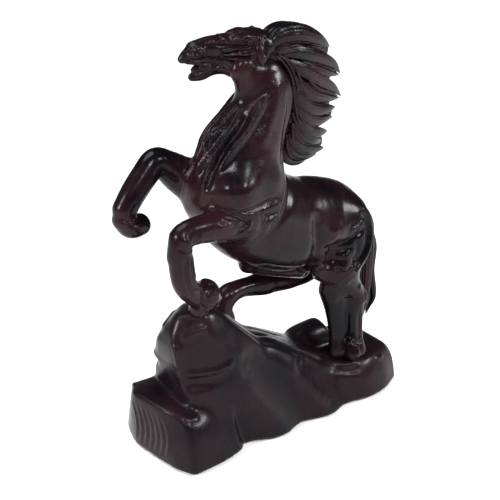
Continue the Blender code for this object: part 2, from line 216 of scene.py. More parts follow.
# %% A net of four-sided faces
def skin(clay):
    """The points (in drawn millimetres) and the four-sided faces of the zero surface."""
    f = np.pad(clay.field, 1, constant_values=FAR_AWAY)
    cells = tuple(n - 1 for n in f.shape)
    corner = {}
    for i in (0, 1):
        for j in (0, 1):
            for k in (0, 1):
                corner[i, j, k] = f[i : i + cells[0], j : j + cells[1], k : k + cells[2]]
    inside = sum((c < 0).astype(np.int8) for c in corner.values())
    used = np.argwhere((inside > 0) & (inside < 8))
    at = tuple(used.T)
    number = np.full(cells, -1, np.int32)
    number[at] = np.arange(len(used))
    total, crossings = np.zeros((len(used), 3)), np.zeros(len(used))
    for axis in range(3):
        for i in (0, 1):
            for j in (0, 1):
                start = [i, j]
                start.insert(axis, 0)
                end = list(start)
                end[axis] = 1
                a, b = corner[tuple(start)][at], corner[tuple(end)][at]
                crossed = (a < 0) != (b < 0)
                share = np.where(crossed, a / np.where(crossed, a - b, 1.0), 0.0)
                place = np.array(start, float)[None, :].repeat(len(used), 0)
                place[:, axis] = share
                total += place * crossed[:, None]
                crossings += crossed
    points = (used + total / crossings[:, None] - 1.0) * clay.step + clay.low
    faces = []
    for axis in range(3):
        a = f[tuple(slice(1, -1) for _ in range(3))]
        ahead = [slice(1, -1)] * 3
        ahead[axis] = slice(2, None)
        b = f[tuple(ahead)]
        edge = np.argwhere((a < 0) != (b < 0))
        leaving = (a[tuple(edge.T)] < 0)[:, None]
        cell = edge + 1
        u, v = [i for i in range(3) if i != axis]
        ring = []
        for du, dv in ((1, 1), (0, 1), (0, 0), (1, 0)):
            beside = cell.copy()
            beside[:, u] -= du
            beside[:, v] -= dv
            ring.append(number[tuple(beside.T)])
        quad = np.stack(ring, 1)
        turn = leaving if axis != 1 else ~leaving
        faces.append(np.where(turn, quad, quad[:, ::-1]))
    faces = np.vstack(faces)
    return points, faces[(faces >= 0).all(1)]


def even(points, faces, passes=2, share=0.5):
    """Smooths the net: each point moves by a share of the way to the mean of the points it is joined to."""
    edges = np.vstack([faces[:, [0, 1]], faces[:, [1, 2]], faces[:, [2, 3]], faces[:, [3, 0]]])
    count = np.bincount(edges.ravel(), minlength=len(points))[:, None]
    for _ in range(passes):
        total = np.stack([np.bincount(edges[:, 0], points[edges[:, 1], i], len(points))
                          + np.bincount(edges[:, 1], points[edges[:, 0], i], len(points))
                          for i in range(3)], 1)
        points = points + share * (total / count - points)
    return points


def outward(points, faces):
    """The unit normal at every point: the sum of the normals of the faces around it."""
    a, b = points[faces[:, 2]] - points[faces[:, 0]], points[faces[:, 3]] - points[faces[:, 1]]
    face = np.cross(a, b)
    total = np.stack([sum(np.bincount(faces[:, k], face[:, i], len(points)) for k in range(4))
                      for i in range(3)], 1)
    return total / np.maximum(np.linalg.norm(total, axis=1), 1e-12)[:, None]


print("points of the net: one in each cell that the skin passes through")


# %% [markdown]
# ## Gouge strokes
#
# Folds, creases, nostrils and hair are finer than the forms, so they are cut afterwards, as a carver
# does, with strokes. A stroke is a line drawn on a side view, and it moves the skin along its normal by a
# bell curve of the distance from the line. A positive depth raises a ridge and a negative one cuts.

# %% Strokes on a skin
class Skin:
    """Points and faces of a block while it is being finished."""

    def __init__(self, clay, passes=2):
        self.points, self.faces = skin(clay)
        self.points = even(self.points, self.faces, passes)
        self.normals = outward(self.points, self.faces)
        self.moved = np.zeros(len(self.points))
        self.cuts = np.zeros(len(self.points))

    def flat_view(self, view):
        """Each point's two coordinates on the drawing plane of a view, and which side of it faces."""
        if view is None:
            return self.points[:, [0, 2]], -self.normals[:, 1]
        origin, along, up, out = view
        away = self.points - origin
        return np.stack([away @ along, away @ up], 1), self.normals @ out

    def stroke(self, line, width, depth, side=1.0, view=None, taper=0.2, sharp=2.0, near=None,
               rub=None):
        """One stroke: depth times exp(-(distance / width) ** sharp), fading out at both ends of the
        line, on the points that face the side the stroke is drawn on."""
        flat, facing = self.flat_view(view)
        path = through(line, 5)
        reach = 3.0 * width
        chosen = (flat > path.min(0) - reach).all(1) & (flat < path.max(0) + reach).all(1)
        if side:
            chosen &= facing * side > 0.05
        if near is not None:
            chosen &= (self.points[:, 1] - near) * side < 0
        index = np.flatnonzero(chosen)
        spot, best, where = flat[index], np.full(len(index), 1e9), np.zeros(len(index))
        for i, (a, b) in enumerate(zip(path, path[1:])):
            line_ab = b - a
            t = np.clip(((spot - a) @ line_ab) / max(line_ab @ line_ab, 1e-9), 0.0, 1.0)
            away = np.linalg.norm(spot - a - t[:, None] * line_ab, axis=1)
            closer = away < best
            best = np.where(closer, away, best)
            where = np.where(closer, (i + t) / (len(path) - 1), where)
        fade = np.clip(np.minimum(where, 1.0 - where) / taper, 0.0, 1.0) if taper else 1.0
        fade = fade * fade * (3.0 - 2.0 * fade) if taper else 1.0
        slope = np.clip(facing[index] * side * 3.0, 0.0, 1.0) if side else 1.0
        self.moved[index] += depth * fade * slope * np.exp(-((best / width) ** sharp))
        rub = float(np.clip(0.75 - 0.4 * width, 0.05, 0.5)) if rub is None else rub
        rough = fade * slope * np.exp(-((0.6 * best / width) ** 2)) * rub
        self.cuts[index] = np.maximum(self.cuts[index], rough)
        return self

    def settle(self):
        """Moves the skin by all strokes made so far."""
        self.points = self.points + self.normals * self.moved[:, None]
        self.normals = outward(self.points, self.faces)
        self.moved[:] = 0.0
        return self


def piece(name, points, faces, finish, slot, *nodes, crease=None, cuts=None):
    """Puts finished points and faces into a mesh that stands for the nodes of the frame. cuts says how
    much each point was worked, from 0 to 1."""
    mesh = bpy.data.meshes.new(name)
    mesh.from_pydata((points * UNIT).tolist(), [], faces.tolist() if isinstance(faces,
                                                                                np.ndarray) else faces)
    mesh.update()
    mesh.materials.append(finish)
    if cuts is not None:
        layer = mesh.attributes.new("cut", "FLOAT", "POINT")
        layer.data.foreach_set("value", np.broadcast_to(cuts, len(points)).astype(np.float32).copy())
    mesh.polygons.foreach_set("use_smooth", np.ones(len(mesh.polygons), bool))
    if crease:
        mesh.set_sharp_from_angle(angle=crease)
    made = bpy.data.objects.new(name, mesh)
    bpy.context.scene.collection.objects.link(made)
    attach(made, "root")
    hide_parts(*nodes)
    low, high = points.min(0), points.max(0)
    size = " x ".join(f"{d:.1f}" for d in high - low)
    print(f"{name}: {len(points)} points, {len(faces)} faces, {size} mm")
    return made


print("a stroke of width 1 mm has faded to", round(math.exp(-4.0), 3), "of its depth 2 mm from its line")

# %% [markdown]
# ## The horse's forms
#
# Each form is a muscle or a bone of a real horse. The trunk is deeper than it is wide, so its balls are
# squeezed across. Forms that come in pairs are listed for the near side and mirrored.

# %% Trunk, neck, shoulders and haunches
SLIM = (1.0, 0.79, 1.0)


def mirrored(balls):
    """The same chain on the other side of the middle plane."""
    return [(x, -offset, z, r) for x, offset, z, r in balls]


def trunk_forms(clay):
    clay.bone([(44.5, 0, 86.5, 12.2), (35, 0, 90, 18.9), (22.5, 0, 92.6, 21.6), (9, 0, 94.8, 22.6),
               (-5, 0, 102, 22.8), (-16.5, 0, 110.5, 22.2), (-25.5, 0, 121, 19.2)], 0, SLIM)
    clay.bone([(-18.5, 0, 124, 22.5), (-16.6, 0, 137, 20.9), (-10.8, 0, 146.5, 17.7), (-5, 0, 155.5, 15.6),
               (-2.5, 0, 163.5, 13.6), (-4, 0.5, 170.5, 11.3)], 4.0, (1.0, 0.70, 0.78))
    clay.bone([(-15, 0, 174.4, 7.4), (-10.5, 0, 169.5, 10.2)], 3.0, (1, 0.62, 1))
    for turn in (list, mirrored):
        clay.bone(turn([(-21, -8.5, 128, 10), (-27, -10.5, 120.5, 9.2), (-31, -9.5, 112.5, 7.2)]), 5.5,
                  (1.15, 0.8, 1.0))
        clay.bone(turn([(-36, -5.5, 126, 7), (-36.5, -6, 117, 6.5)]), 3.5)
        clay.bone(turn([(-12, -9.5, 122, 9), (-14, -10, 112, 8), (-22, -11, 106, 6)]), 4.0, (1.0, 0.8, 1.1))
    clay.bone([(40, -8.5, 90, 13.0), (41, -9.5, 78, 13), (34, -10, 69.5, 9.6), (25, -9.5, 70.5, 6.6)], 3.0,
              (1, 0.72, 1))
    clay.bone([(40, 8.5, 90, 13.0), (40, 9.5, 76, 12.5), (33, 9.5, 67, 9)], 3.0, (1, 0.72, 1))
    clay.bone([(-14, 0, 80.4, 3.5), (-7, 0, 77.2, 3.2), (1, 0, 74.0, 3.4), (10, 0, 70.8, 3.6),
               (19.5, 0, 68.0, 4.2)], 3.2)
    return clay


def near_foreleg_forms(clay):
    clay.bone([(-26, -11.5, 111.5, 8.4), (-38, -13, 112.5, 7.6), (-50, -13.2, 113.6, 6.4),
               (-58.5, -12, 112.8, 5.7), (-61, -12, 107, 5.3), (-60.3, -12, 97, 5.7), (-58.5, -12, 89, 5.4),
               (-53, -11, 83, 5.0)], 0, (1, 0.9, 1))
    clay.bone([(-59.5, -12, 111.5, 5.2), (-62, -12, 104, 4.6)], 2.0)
    clay.bone([(-56, -10.8, 85.5, 4.4), (-50, -10, 80.5, 5.4), (-46.0, -9.5, 80.0, 7.0)], 2.0)
    clay.bone([(-46.8, -9.0, 78.5, 6.6), (-48.2, -8.0, 73.0, 4.6)], 1.5)
    return clay


def far_foreleg_forms(clay):
    clay.bone([(-25, 11, 116, 10), (-37, 15, 125.3, 9.0), (-46.2, 16, 133.0, 7.0), (-52.2, 16.5, 136.2, 6.2),
               (-58, 16.5, 131, 6.2), (-64.2, 16.5, 124.5, 6.0), (-69, 16.5, 118.4, 5.6)], 0, (1, 0.95, 1))
    clay.bone([(-69.5, 16.2, 113.6, 5.4), (-66.5, 16, 109.8, 5.6), (-62.5, 16, 109.6, 5.4)], 1.2,
              (1, 1.15, 0.95))
    return clay


def near_hind_leg_forms(clay):
    clay.bone([(35, -10.5, 67, 9.0), (38.5, -11.5, 60.5, 6.8), (42, -12.5, 55, 5.2),
               (44.4, -13.4, 50.5, 4.4)], 0, (1, 0.95, 1))
    clay.bone([(44.4, -13.4, 50.5, 4.0), (44.0, -14.6, 43, 2.7), (43.0, -15.8, 35, 2.6),
               (41.8, -16.8, 29, 3.0)], 1.2)
    clay.bone([(42.2, -13.6, 49, 3.6), (40.2, -15.0, 42, 2.5), (39.4, -16.2, 34.5, 2.5),
               (38.4, -17.2, 29, 3.0)], 1.2)
    clay.bone([(41.4, -17.2, 28.2, 3.5), (41.6, -18.0, 24.5, 4.0)], 1.0)
    clay.bone([(37.6, -17.4, 28.6, 3.5), (37.6, -18.4, 24.4, 4.2)], 1.0)
    clay.bone([(34.5, -9.5, 58, 7), (36, -9.6, 46, 5.2), (36, -11.0, 34, 4.4), (36, -12.5, 25, 5.2)], 1.4,
              (1.55, 0.85, 1))
    return clay


def far_hind_leg_forms(clay):
    clay.bone([(36, 9, 66, 9.0), (28.5, 9.5, 61.5, 7.0), (20, 9.5, 60.6, 5.6), (10, 9.5, 61.6, 5.2),
               (4, 9.5, 62.4, 5.6), (-4, 9.5, 63.4, 4.6), (-12, 9.2, 64.0, 4.6), (-18.5, 8.8, 63.0, 5.3),
               (-22.0, 8.5, 58.0, 4.6)], 0)
    clay.bone([(-22.0, 8.6, 57.5, 4.8), (-21.5, 8.5, 52.6, 6.0)], 0.8)
    return clay


LEGS = {
    "near_foreleg": (near_foreleg_forms, 3.5),
    "far_foreleg": (far_foreleg_forms, 3.5),
    "near_hind_leg": (near_hind_leg_forms, 3.0),
    "far_hind_leg": (far_hind_leg_forms, 2.5),
}
print("legs and how widely each melts into the body:", {node: blend for node, (_, blend) in LEGS.items()})

# %% [markdown]
# ## One horse, sawn into its blocks
#
# The legs grow out of the body without a step, so each leg is melted into the body first, and the whole
# is then parted along the surface that is equally far from both. Each block keeps a hair of overlap, so
# that no gap shows along the glue line.

# %% Part the blocks
OVERLAP = 0.25
GRAIN = 0.75


def room(node, spare=3.0):
    """The box of a node of the frame in drawn millimetres, with some spare room round it."""
    low, high = (np.array(corner, float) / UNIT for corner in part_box(node))
    return low - spare, high + spare


def parted(own, other):
    """How far a sample lies outside own's share of the joined form."""
    return (own - other) * 0.5 - OVERLAP


body_low, body_high = room("horse_body")
body = trunk_forms(Clay(body_low, body_high, GRAIN))
trunk_only = body.field.copy()
share = np.full_like(trunk_only, -FAR_AWAY)
for forms, blend in LEGS.values():
    leg = forms(Clay(body_low, body_high, GRAIN))
    body.field = smooth_min(body.field, leg.field, blend)
    share = np.maximum(share, parted(trunk_only, leg.field))
body.field = np.maximum(body.field, share)

legs = {}
for node, (forms, blend) in LEGS.items():
    low, high = room(node, 8.0)
    leg = forms(Clay(low, high, GRAIN * 0.85))
    trunk = trunk_forms(Clay(low, high, GRAIN * 0.85))
    joined = smooth_min(trunk.field, leg.field, blend)
    leg.field = np.maximum(joined, parted(leg.field, trunk.field))
    legs[node] = leg
print("samples in the body's clay:", body.field.size)

# %% [markdown]
# ## Finishes
#
# The carving is dark wood under clear lacquer. Along the grain the wood is close to black with a brown-red
# cast. Where a gouge has worked, the pores and tool marks are left in the surface, so it glitters. Between
# the cuts it was sanded, so it shines softly. Every carved piece stores how much each point was cut, under
# the name "cut", and the finish reads it. Felt and beech are only seen from below or not at all.

# %% The finishes
def shade(tree, kind, inputs=(), **settings):
    """Adds one node. inputs pairs a socket with a value or with another node's output."""
    made = tree.nodes.new(kind)
    for name, value in settings.items():
        setattr(made, name, value)
    for socket, value in dict(inputs).items():
        if isinstance(value, bpy.types.NodeSocket):
            tree.links.new(value, made.inputs[socket])
        else:
            made.inputs[socket].default_value = value
    return made


def ramp(tree, value, stops):
    """A colour ramp through (place, colour) stops, smooth between them."""
    made = shade(tree, "ShaderNodeValToRGB", {"Fac": value})
    made.color_ramp.interpolation = "EASE"
    for extra in range(len(stops) - 2):
        made.color_ramp.elements.new(0.5)
    for element, (place, colour) in zip(made.color_ramp.elements, stops):
        element.position, element.color = place, (*colour, 1.0)
    return made.outputs["Color"]


def span(tree, value, low, high, to_low, to_high):
    """value from low..high onto to_low..to_high, held at both ends."""
    made = shade(tree, "ShaderNodeMapRange", {"Value": value, "From Min": low, "From Max": high,
                                               "To Min": to_low, "To Max": to_high})
    return made.outputs["Result"]


def sums(tree, kind, a, b):
    made = shade(tree, "ShaderNodeMath", {0: a, 1: b}, operation=kind)
    return made.outputs[0]


def noise(tree, where, scale, detail=3.0, roughness=0.55, distortion=0.0):
    made = shade(tree, "ShaderNodeTexNoise", {"Vector": where, "Scale": scale, "Detail": detail,
                                               "Roughness": roughness, "Distortion": distortion})
    return made.outputs["Fac"]


def bump(tree, height, strength, distance, **before):
    """A relief from height; Normal, where it is given, is the relief under it."""
    made = shade(tree, "ShaderNodeBump", {"Height": height, "Strength": strength, "Distance": distance,
                                          **before})
    return made.outputs["Normal"]


def new_finish(name, **values):
    """A new finish: its material, its node tree, its main node with the values set, and the place on the
    object. An underscore in the name of a value stands for a space."""
    finish = bpy.data.materials.new(name)
    finish.use_nodes = True
    surface = finish.node_tree.nodes["Principled BSDF"]
    for socket, value in values.items():
        surface.inputs[socket.replace("_", " ")].default_value = value
    place = shade(finish.node_tree, "ShaderNodeTexCoord").outputs["Object"]
    return finish, finish.node_tree, surface, place


def lacquered(name, shine, pitted, dark, warm):
    """Lacquered dark wood: colour from slow noise, roughness from noise, relief from pores and tool marks."""
    finish, tree, surface, place = new_finish(name, Specular_IOR_Level=0.085, Coat_Weight=0.035,
                                              Coat_Roughness=0.12)
    cut = shade(tree, "ShaderNodeAttribute", attribute_name="cut").outputs["Fac"]
    along = shade(tree, "ShaderNodeMapping", {"Vector": place, "Scale": (1.0, 1.0, 0.14),
                                              "Rotation": (0.0, 0.35, 0.1)}).outputs["Vector"]
    clouds = noise(tree, place, 34.0, 2.0)
    streaks = noise(tree, along, 620.0, 3.0, 0.6, 0.4)
    fine = noise(tree, place, 1500.0, 3.0, 0.6)
    patches = noise(tree, place, 120.0, 2.0)
    # colour: slow clouds of red in the black, with grain through them
    mood = sums(tree, "ADD", clouds, sums(tree, "MULTIPLY", streaks, 0.35))
    between = tuple((a + b) / 2 for a, b in zip(dark, warm))
    colour = ramp(tree, mood, [(0.54, dark), (0.70, between), (0.86, warm)])
    tree.links.new(colour, surface.inputs["Base Color"])
    # shine: sanded all over, its roughness varying with slow patches and fine speckle
    worn = sums(tree, "ADD", span(tree, patches, 0.3, 0.7, shine - 0.06, shine + 0.08),
                span(tree, fine, 0.3, 0.7, -0.05, 0.07))
    tree.links.new(worn, surface.inputs["Roughness"])
    # relief: open pores along the grain, gouge hatching and pits where it was cut
    pores = shade(tree, "ShaderNodeTexVoronoi", {"Vector": place, "Scale": 1050.0, "Randomness": 1.0})
    pit = span(tree, pores.outputs["Distance"], 0.0, 0.75, 0.0, 1.0)
    amount = sums(tree, "MULTIPLY", sums(tree, "ADD", span(tree, cut, 0.0, 1.0, 0.05, 1.0),
                                         span(tree, patches, 0.58, 0.74, 0.0, 0.07)), pitted)
    marks = shade(tree, "ShaderNodeTexWave", {"Vector": place, "Scale": 360.0, "Distortion": 5.0,
                                              "Detail": 3.0,
                                              "Detail Scale": 1.6}, bands_direction="Z")
    sanded = span(tree, noise(tree, place, 75.0, 1.0), 0.52, 0.66, 0.0, 0.10)
    marks_under = bump(tree, marks.outputs["Fac"], sanded, 0.00016)
    grain_over = bump(tree, streaks, 0.05, 0.0006, Normal=marks_under)
    tree.links.new(bump(tree, pit, amount, 0.00045, Normal=grain_over), surface.inputs["Normal"])
    return finish


BLACK, RED = (0.0024, 0.0019, 0.0030), (0.014, 0.0048, 0.0068)
wood = lacquered("lacquered_blackwood", 0.20, 0.75, BLACK, RED)
rock_wood = lacquered("satin_blackwood", 0.29, 0.3, (0.0032, 0.0024, 0.0037), (0.011, 0.0050, 0.0070))
print("finishes:", wood.name, "and", rock_wood.name)

# %% [markdown]
# ## Folds and muscles of the body
#
# Long folds run down the neck from the throat to the chest, the shoulder blade stands off the barrel, and
# the thigh is a drop-shaped mass with a raised rim. They are strokes on the side view. The far side gets
# the same ones, because the far side of such a carving repeats them.

# %% Carve the body
NEAR, FAR_SIDE = 1.0, -1.0
body_skin = Skin(body)
for side in (NEAR, FAR_SIDE):
    cut = lambda line, width, depth, **how: body_skin.stroke(line, width, depth, side, near=SADDLE, **how)
    # three folds run down the neck from the throat to the chest; they are drawn from the front quarter
    quarter = ((0.0, SADDLE, 0.0), (0.766, -0.643 * side, 0.0), (0.0, 0.0, 1.0),
               (-0.643, -0.766 * side, 0.0))
    fold = lambda line, width, depth, **how: body_skin.stroke(line, width, depth, 1.0, quarter, **how)
    fold([(-13, 162), (-19.6, 153), (-23.7, 148.7), (-27.2, 144.5), (-29.6, 140.3), (-31.2, 135),
          (-31.9, 127)], 1.15, 2.0, taper=0.3, rub=0.45)
    fold([(-10.3, 161), (-17, 151), (-22.3, 144.5), (-25.5, 138.6), (-28.2, 132), (-30, 126)], 0.8, 1.3,
         rub=0.45)
    fold([(0.5, 167), (-1.5, 163.5), (-4, 160), (-6.9, 155.2), (-10.9, 149.9), (-15.6, 145.2),
          (-19.8, 139.8), (-23.2, 134), (-26.8, 126.5)], 1.6, 2.4, taper=0.4, rub=0.45)
    fold([(-8, 159), (-14, 150.5), (-19, 145), (-22.8, 139), (-26, 132), (-28.4, 126.5)], 1.1, -1.2, rub=0.1)
    # the round muscle over the shoulder, and the fold below it
    fold([(-18, 127.5), (-12.5, 127)], 6.5, 2.3, rub=0.0, taper=0.0)
    cut([(-42, 121.5), (-37, 119.6), (-31, 118.6), (-24, 118.2), (-16, 118.8), (-8, 120)], 1.2, -1.0,
        rub=0.3)
    cut([(-4, 172), (-5, 165), (-8, 157), (-13, 149.5), (-18, 142.5)], 3.2, 0.8, rub=0.2)
    cut([(2, 166), (2.5, 156), (0, 146), (-2, 136), (-4, 128)], 2.2, -0.7, rub=0.0)
    # the back edge of the shoulder blade, and the folds over the elbow
    cut([(0, 134), (-1.5, 128), (-4, 121), (-9, 114.5), (-15, 109), (-21, 105)], 2.2, 0.6, rub=0.0)
    cut([(3.5, 133), (2, 126), (-0.5, 119), (-5.5, 112), (-12, 106), (-19, 101.5)], 2.6, -0.9, rub=0.0)
    cut([(-9, 116.6), (-15, 115.4), (-22, 115.2)], 1.7, 0.7, rub=0.0)
    cut([(-9, 113.6), (-14, 112.2), (-20, 112.4)], 1.2, -0.5, rub=0.0)
    cut([(-11, 111), (-15.5, 109.6), (-21, 109.6)], 1.3, 0.5, rub=0.0)
    # hip, thigh, tendon and stifle
    cut([(14.5, 106), (13.5, 97), (14.5, 88), (15.5, 79), (17.5, 71)], 3.2, -1.6, rub=0.0)
    cut([(25.0, 91.0), (28.5, 91.2)], 5.0, 2.0, taper=0.0, rub=0.0)
    cut([(17.5, 85.5), (24, 84.0), (31, 84.0), (38, 86.6), (45, 90.0)], 1.4, -1.2, rub=0.0)
    cut([(34, 90.3), (39, 91), (45, 93)], 0.9, 1.0)
    cut([(20.5, 81), (19.8, 77), (20, 73)], 2.2, 2.0, rub=0.0)
    cut([(25.8, 86), (24.8, 79), (24.4, 71)], 1.2, -1.1, rub=0.0)
    cut([(31, 80.5), (32, 75), (29.5, 70)], 3.2, 2.2, rub=0.0)
    cut([(37.5, 86), (38.5, 79), (36, 72)], 1.2, -0.7)
    cut([(43, 100), (47.5, 95), (48.8, 88), (47.6, 80.5), (44, 74), (38.5, 69.2), (31, 66.4), (24, 65)], 1.2,
        1.3)
    cut([(41, 97.5), (44.8, 92.5), (45.8, 86.5), (44.4, 80), (40.6, 74.4), (34.8, 70.8), (28, 69)], 1.3,
        -1.3)
    cut([(50.5, 99), (52, 92), (51.5, 84), (48.6, 76.5)], 1.3, -1.1)
    cut([(18.8, 71.8), (17, 69.5)], 2.3, 1.9, taper=0.0)
    cut([(12, 74), (15.5, 71), (20, 66.5)], 0.9, -0.8)
    # the sheath along the belly
    cut([(-15, 84.6), (-8, 81.4), (0, 78.2), (10, 75.0), (18, 72.8)], 1.2, -0.7)
    cut([(-12, 79.4), (-6, 76.8), (2, 73.6), (12, 70.6)], 0.8, -0.4)
    cut([(11.5, 70.5), (13.5, 69.8)], 2.0, 1.1, taper=0.0)
body_skin.settle()
piece("horse_body_carved", body_skin.points, body_skin.faces, wood, "carved_wood", "horse_body",
      cuts=body_skin.cuts)

# %% [markdown]
# ## The legs
#
# The knees have two small knobs and the shins have long grooves between bone and tendon. The hooves are
# rounded and have a sharp line above the wall of the hoof.

# %% Carve the legs
leg_skins = {node: Skin(clay) for node, clay in legs.items()}
for side in (NEAR, FAR_SIDE):
    cut = lambda line, width, depth, **how: leg_skins["near_foreleg"].stroke(line, width, depth, side, **how)
    cut([(-42, 121.5), (-38.5, 119.5), (-34, 117), (-30, 113.5), (-33, 111), (-38, 110.3)], 0.8, -1.0)
    cut([(-43, 119), (-39, 117.5), (-35.5, 115.5), (-33.5, 113.5)], 1.0, 0.7)
    cut([(-27, 114), (-30, 110), (-35, 108), (-42, 108.5)], 0.9, 0.8)
    cut([(-24, 108.5), (-31, 106.3), (-39, 106.5), (-48, 108.5)], 0.7, -0.7)
    cut([(-46, 114.5), (-41, 115), (-38, 114)], 1.3, 0.5)
    cut([(-61.5, 112.5), (-60.5, 111)], 1.5, 0.9, taper=0.0)
    cut([(-55, 112), (-54, 110.5)], 1.5, 0.7, taper=0.0)
    cut([(-65, 109.5), (-60, 107.8), (-54, 107.5)], 0.7, -0.7)
    cut([(-61.5, 106), (-62, 98), (-60.5, 90), (-57, 84)], 0.8, -0.7)
    cut([(-59.7, 106), (-60.2, 98), (-58.7, 90), (-55.5, 85)], 0.8, 0.6)
    cut([(-58, 106), (-58.4, 98), (-57, 91), (-54, 86)], 0.7, -0.7)
    cut([(-56.3, 105), (-56.7, 98), (-55.2, 92)], 0.7, 0.5)
    cut([(-52, 88), (-52.5, 83), (-51.5, 77.5), (-48.5, 74)], 0.7, -0.9)
    cut([(-50.5, 75.5), (-46, 75.0), (-41.5, 76.5)], 0.7, -0.8)
    cut([(-52, 85), (-48, 86.2), (-43, 84.6)], 0.8, -0.7)
    cut([(-49.5, 81.5), (-46, 82), (-42, 80.6)], 1.0, 0.6)
    cut = lambda line, width, depth, **how: leg_skins["far_foreleg"].stroke(line, width, depth, side, **how)
    cut([(-74, 116.2), (-69, 114.3), (-64, 113.7), (-58, 115)], 0.8, -1.1)
    cut([(-73, 112.4), (-68, 111.2), (-62, 111.4)], 0.7, 0.5)
    cut([(-56, 133), (-62, 126.5), (-67, 121)], 1.6, 0.4)
    cut([(-53, 128.5), (-59, 122), (-63.5, 117.5)], 0.9, -0.6)
    cut([(-44, 127), (-37, 121), (-31, 114)], 1.0, -0.5)
    cut = lambda line, width, depth, **how: leg_skins["near_hind_leg"].stroke(line, width, depth, side,
                                                                              **how)
    cut([(29.5, 53.6), (35, 52.4), (39, 50.0)], 2.0, -0.5, rub=0.0)
    cut([(34, 64), (39, 60.5), (43.5, 58)], 1.2, -0.9)
    cut([(46.5, 58), (47.4, 53), (46.4, 48)], 0.8, 0.7)
    cut([(35.5, 30.6), (39.6, 30.0), (44, 30.4)], 0.6, -0.7)
    cut([(34.5, 23.4), (39.5, 21.6), (44.5, 22.2)], 0.7, -0.6)
    cut = lambda line, width, depth, **how: leg_skins["far_hind_leg"].stroke(line, width, depth, side, **how)
    cut([(25, 56), (14, 56.4), (0, 58.5), (-10, 59.8)], 0.9, 0.5)
    cut([(25, 52.4), (14, 52), (0, 54.2), (-10, 55.4)], 0.7, -0.5)
    cut([(-13.5, 60.5), (-14.5, 56), (-16.5, 51.5)], 0.7, -0.9)
for node, made in leg_skins.items():
    made.settle()
    piece(f"{node}_carved", made.points, made.faces, wood, "carved_wood", node, cuts=made.cuts)

# %% [markdown]
# ## The head
#
# The head is drawn on its own side view: u runs from the poll to the muzzle, v runs up, and w runs out to
# the near side. The horse turns its head a little to the far side. The jaw is open, the nostrils flare,
# the ear lies back, and flame-shaped grooves mark the cheek.

# %% The head's own axes
POLL = np.array([-4.0, -2.5, 178.0])
TO_MUZZLE = np.array([-0.961, 0.269, 0.069])
TO_MUZZLE /= np.linalg.norm(TO_MUZZLE)
TO_NEAR = np.cross(TO_MUZZLE, (0.0, 0.0, 1.0))
TO_NEAR /= np.linalg.norm(TO_NEAR)
TO_CROWN = np.cross(TO_NEAR, TO_MUZZLE)
HEAD_GRAIN = 0.36


def head_forms(clay):
    """The forms of the head, as (u, w, v, radius)."""
    slim = (1.0, 0.84, 1.0)
    form = lambda balls, blend=1.5, flat=slim: clay.bone(balls, blend, flat, offset=0.0)
    form([(1.5, 0, 4.6, 7.0), (6, 0, 5.7, 7.6), (12, 0, 5.4, 7.3), (19, 0, 5.1, 6.1), (26.5, 0, 5.3, 5.1),
          (32, 0, 4.5, 4.4)])
    form([(32.5, 0, 3.9, 4.2), (36, 0, 2.1, 3.1), (38.2, 0, 1.0, 1.9)], 1.0)
    form([(8, 0, -3.5, 6.5), (13, 0, -3.3, 5.6), (18, 0, -3.0, 4.0), (24, 0, -3.8, 3.2), (29, 0, -6.0, 3.0),
          (33.0, 0, -7.2, 1.9)], 1.2)
    for w in (-1, 1):
        form([(6, 3.0 * w, 0.0, 6.2), (11, 3.2 * w, -1.2, 5.4), (14.5, 2.4 * w, -3.0, 4.0)], 2.0,
             (1, 0.7, 1))
        form([(19.5, 3.2 * w, 7.6, 1.3), (14, 4.4 * w, 9.6, 1.8), (8, 4.9 * w, 10.0, 1.5)], 1.5)
        form([(22, 3.6 * w, 5.8, 1.6), (17, 5.2 * w, 6.0, 1.7), (12, 6.2 * w, 5.6, 1.4)], 2.0)
        form([(31.8, 3.3 * w, 5.0, 1.9), (34.4, 3.0 * w, 3.2, 1.9)], 1.2)
        form([(27, 2.5 * w, -1.6, 1.3), (32, 2.8 * w, -0.4, 1.0), (36.5, 2.0 * w, 0.1, 1.0)], 0.8)
        drop = 0.0 if w > 0 else 5.0
        clay.bone([(4, 5.2 * w, 11.0 - drop, 1.6), (5.6, 7.0 * w, 8.0 - drop, 2.2), (5.0, 7.7 * w, 3.0, 1.7),
                   (3.8, 7.6 * w, -1.6, 0.6)], 0.8, (1, 0.6, 1), offset=0.0)
    form([(24, 0, -0.8, 3.0), (29.0, 0, -0.4, 2.2)])
    clay.hollow([(29.5, 0, -3.2, 0.5), (32.5, 0, -3.3, 1.3), (38, 0, -3.2, 2.0)], 0.6, (1, 4.0, 1),
                offset=0.0)
    for w in (-1, 1):
        clay.hollow([(31.6, 4.8 * w, 5.2, 0.9), (33.4, 4.5 * w, 4.2, 1.3)], 0.5, offset=0.0)
    clay.bone([(24, 0, -3.0, 2.4), (30, 0, -3.2, 1.9), (32.6, 0, -4.2, 1.2)], 0.6, (1, 1.4, 1), offset=0.0)
    return clay


head_skin = Skin(head_forms(Clay((-10, -12, -13), (43, 12, 16), HEAD_GRAIN)), passes=1)
turned = head_skin.points
head_skin.points = POLL + turned[:, :1] * TO_MUZZLE + turned[:, 1:2] * TO_NEAR + turned[:, 2:] * TO_CROWN
if np.dot(np.cross(TO_MUZZLE, TO_NEAR), TO_CROWN) < 0:
    head_skin.faces = head_skin.faces[:, ::-1]
head_skin.normals = outward(head_skin.points, head_skin.faces)
print("the muzzle points to", np.round(TO_MUZZLE, 3), "and the crown to", np.round(TO_CROWN, 3))

# %% [markdown]
# The face is cut with narrow strokes, the same on both cheeks, on the head's own side view.

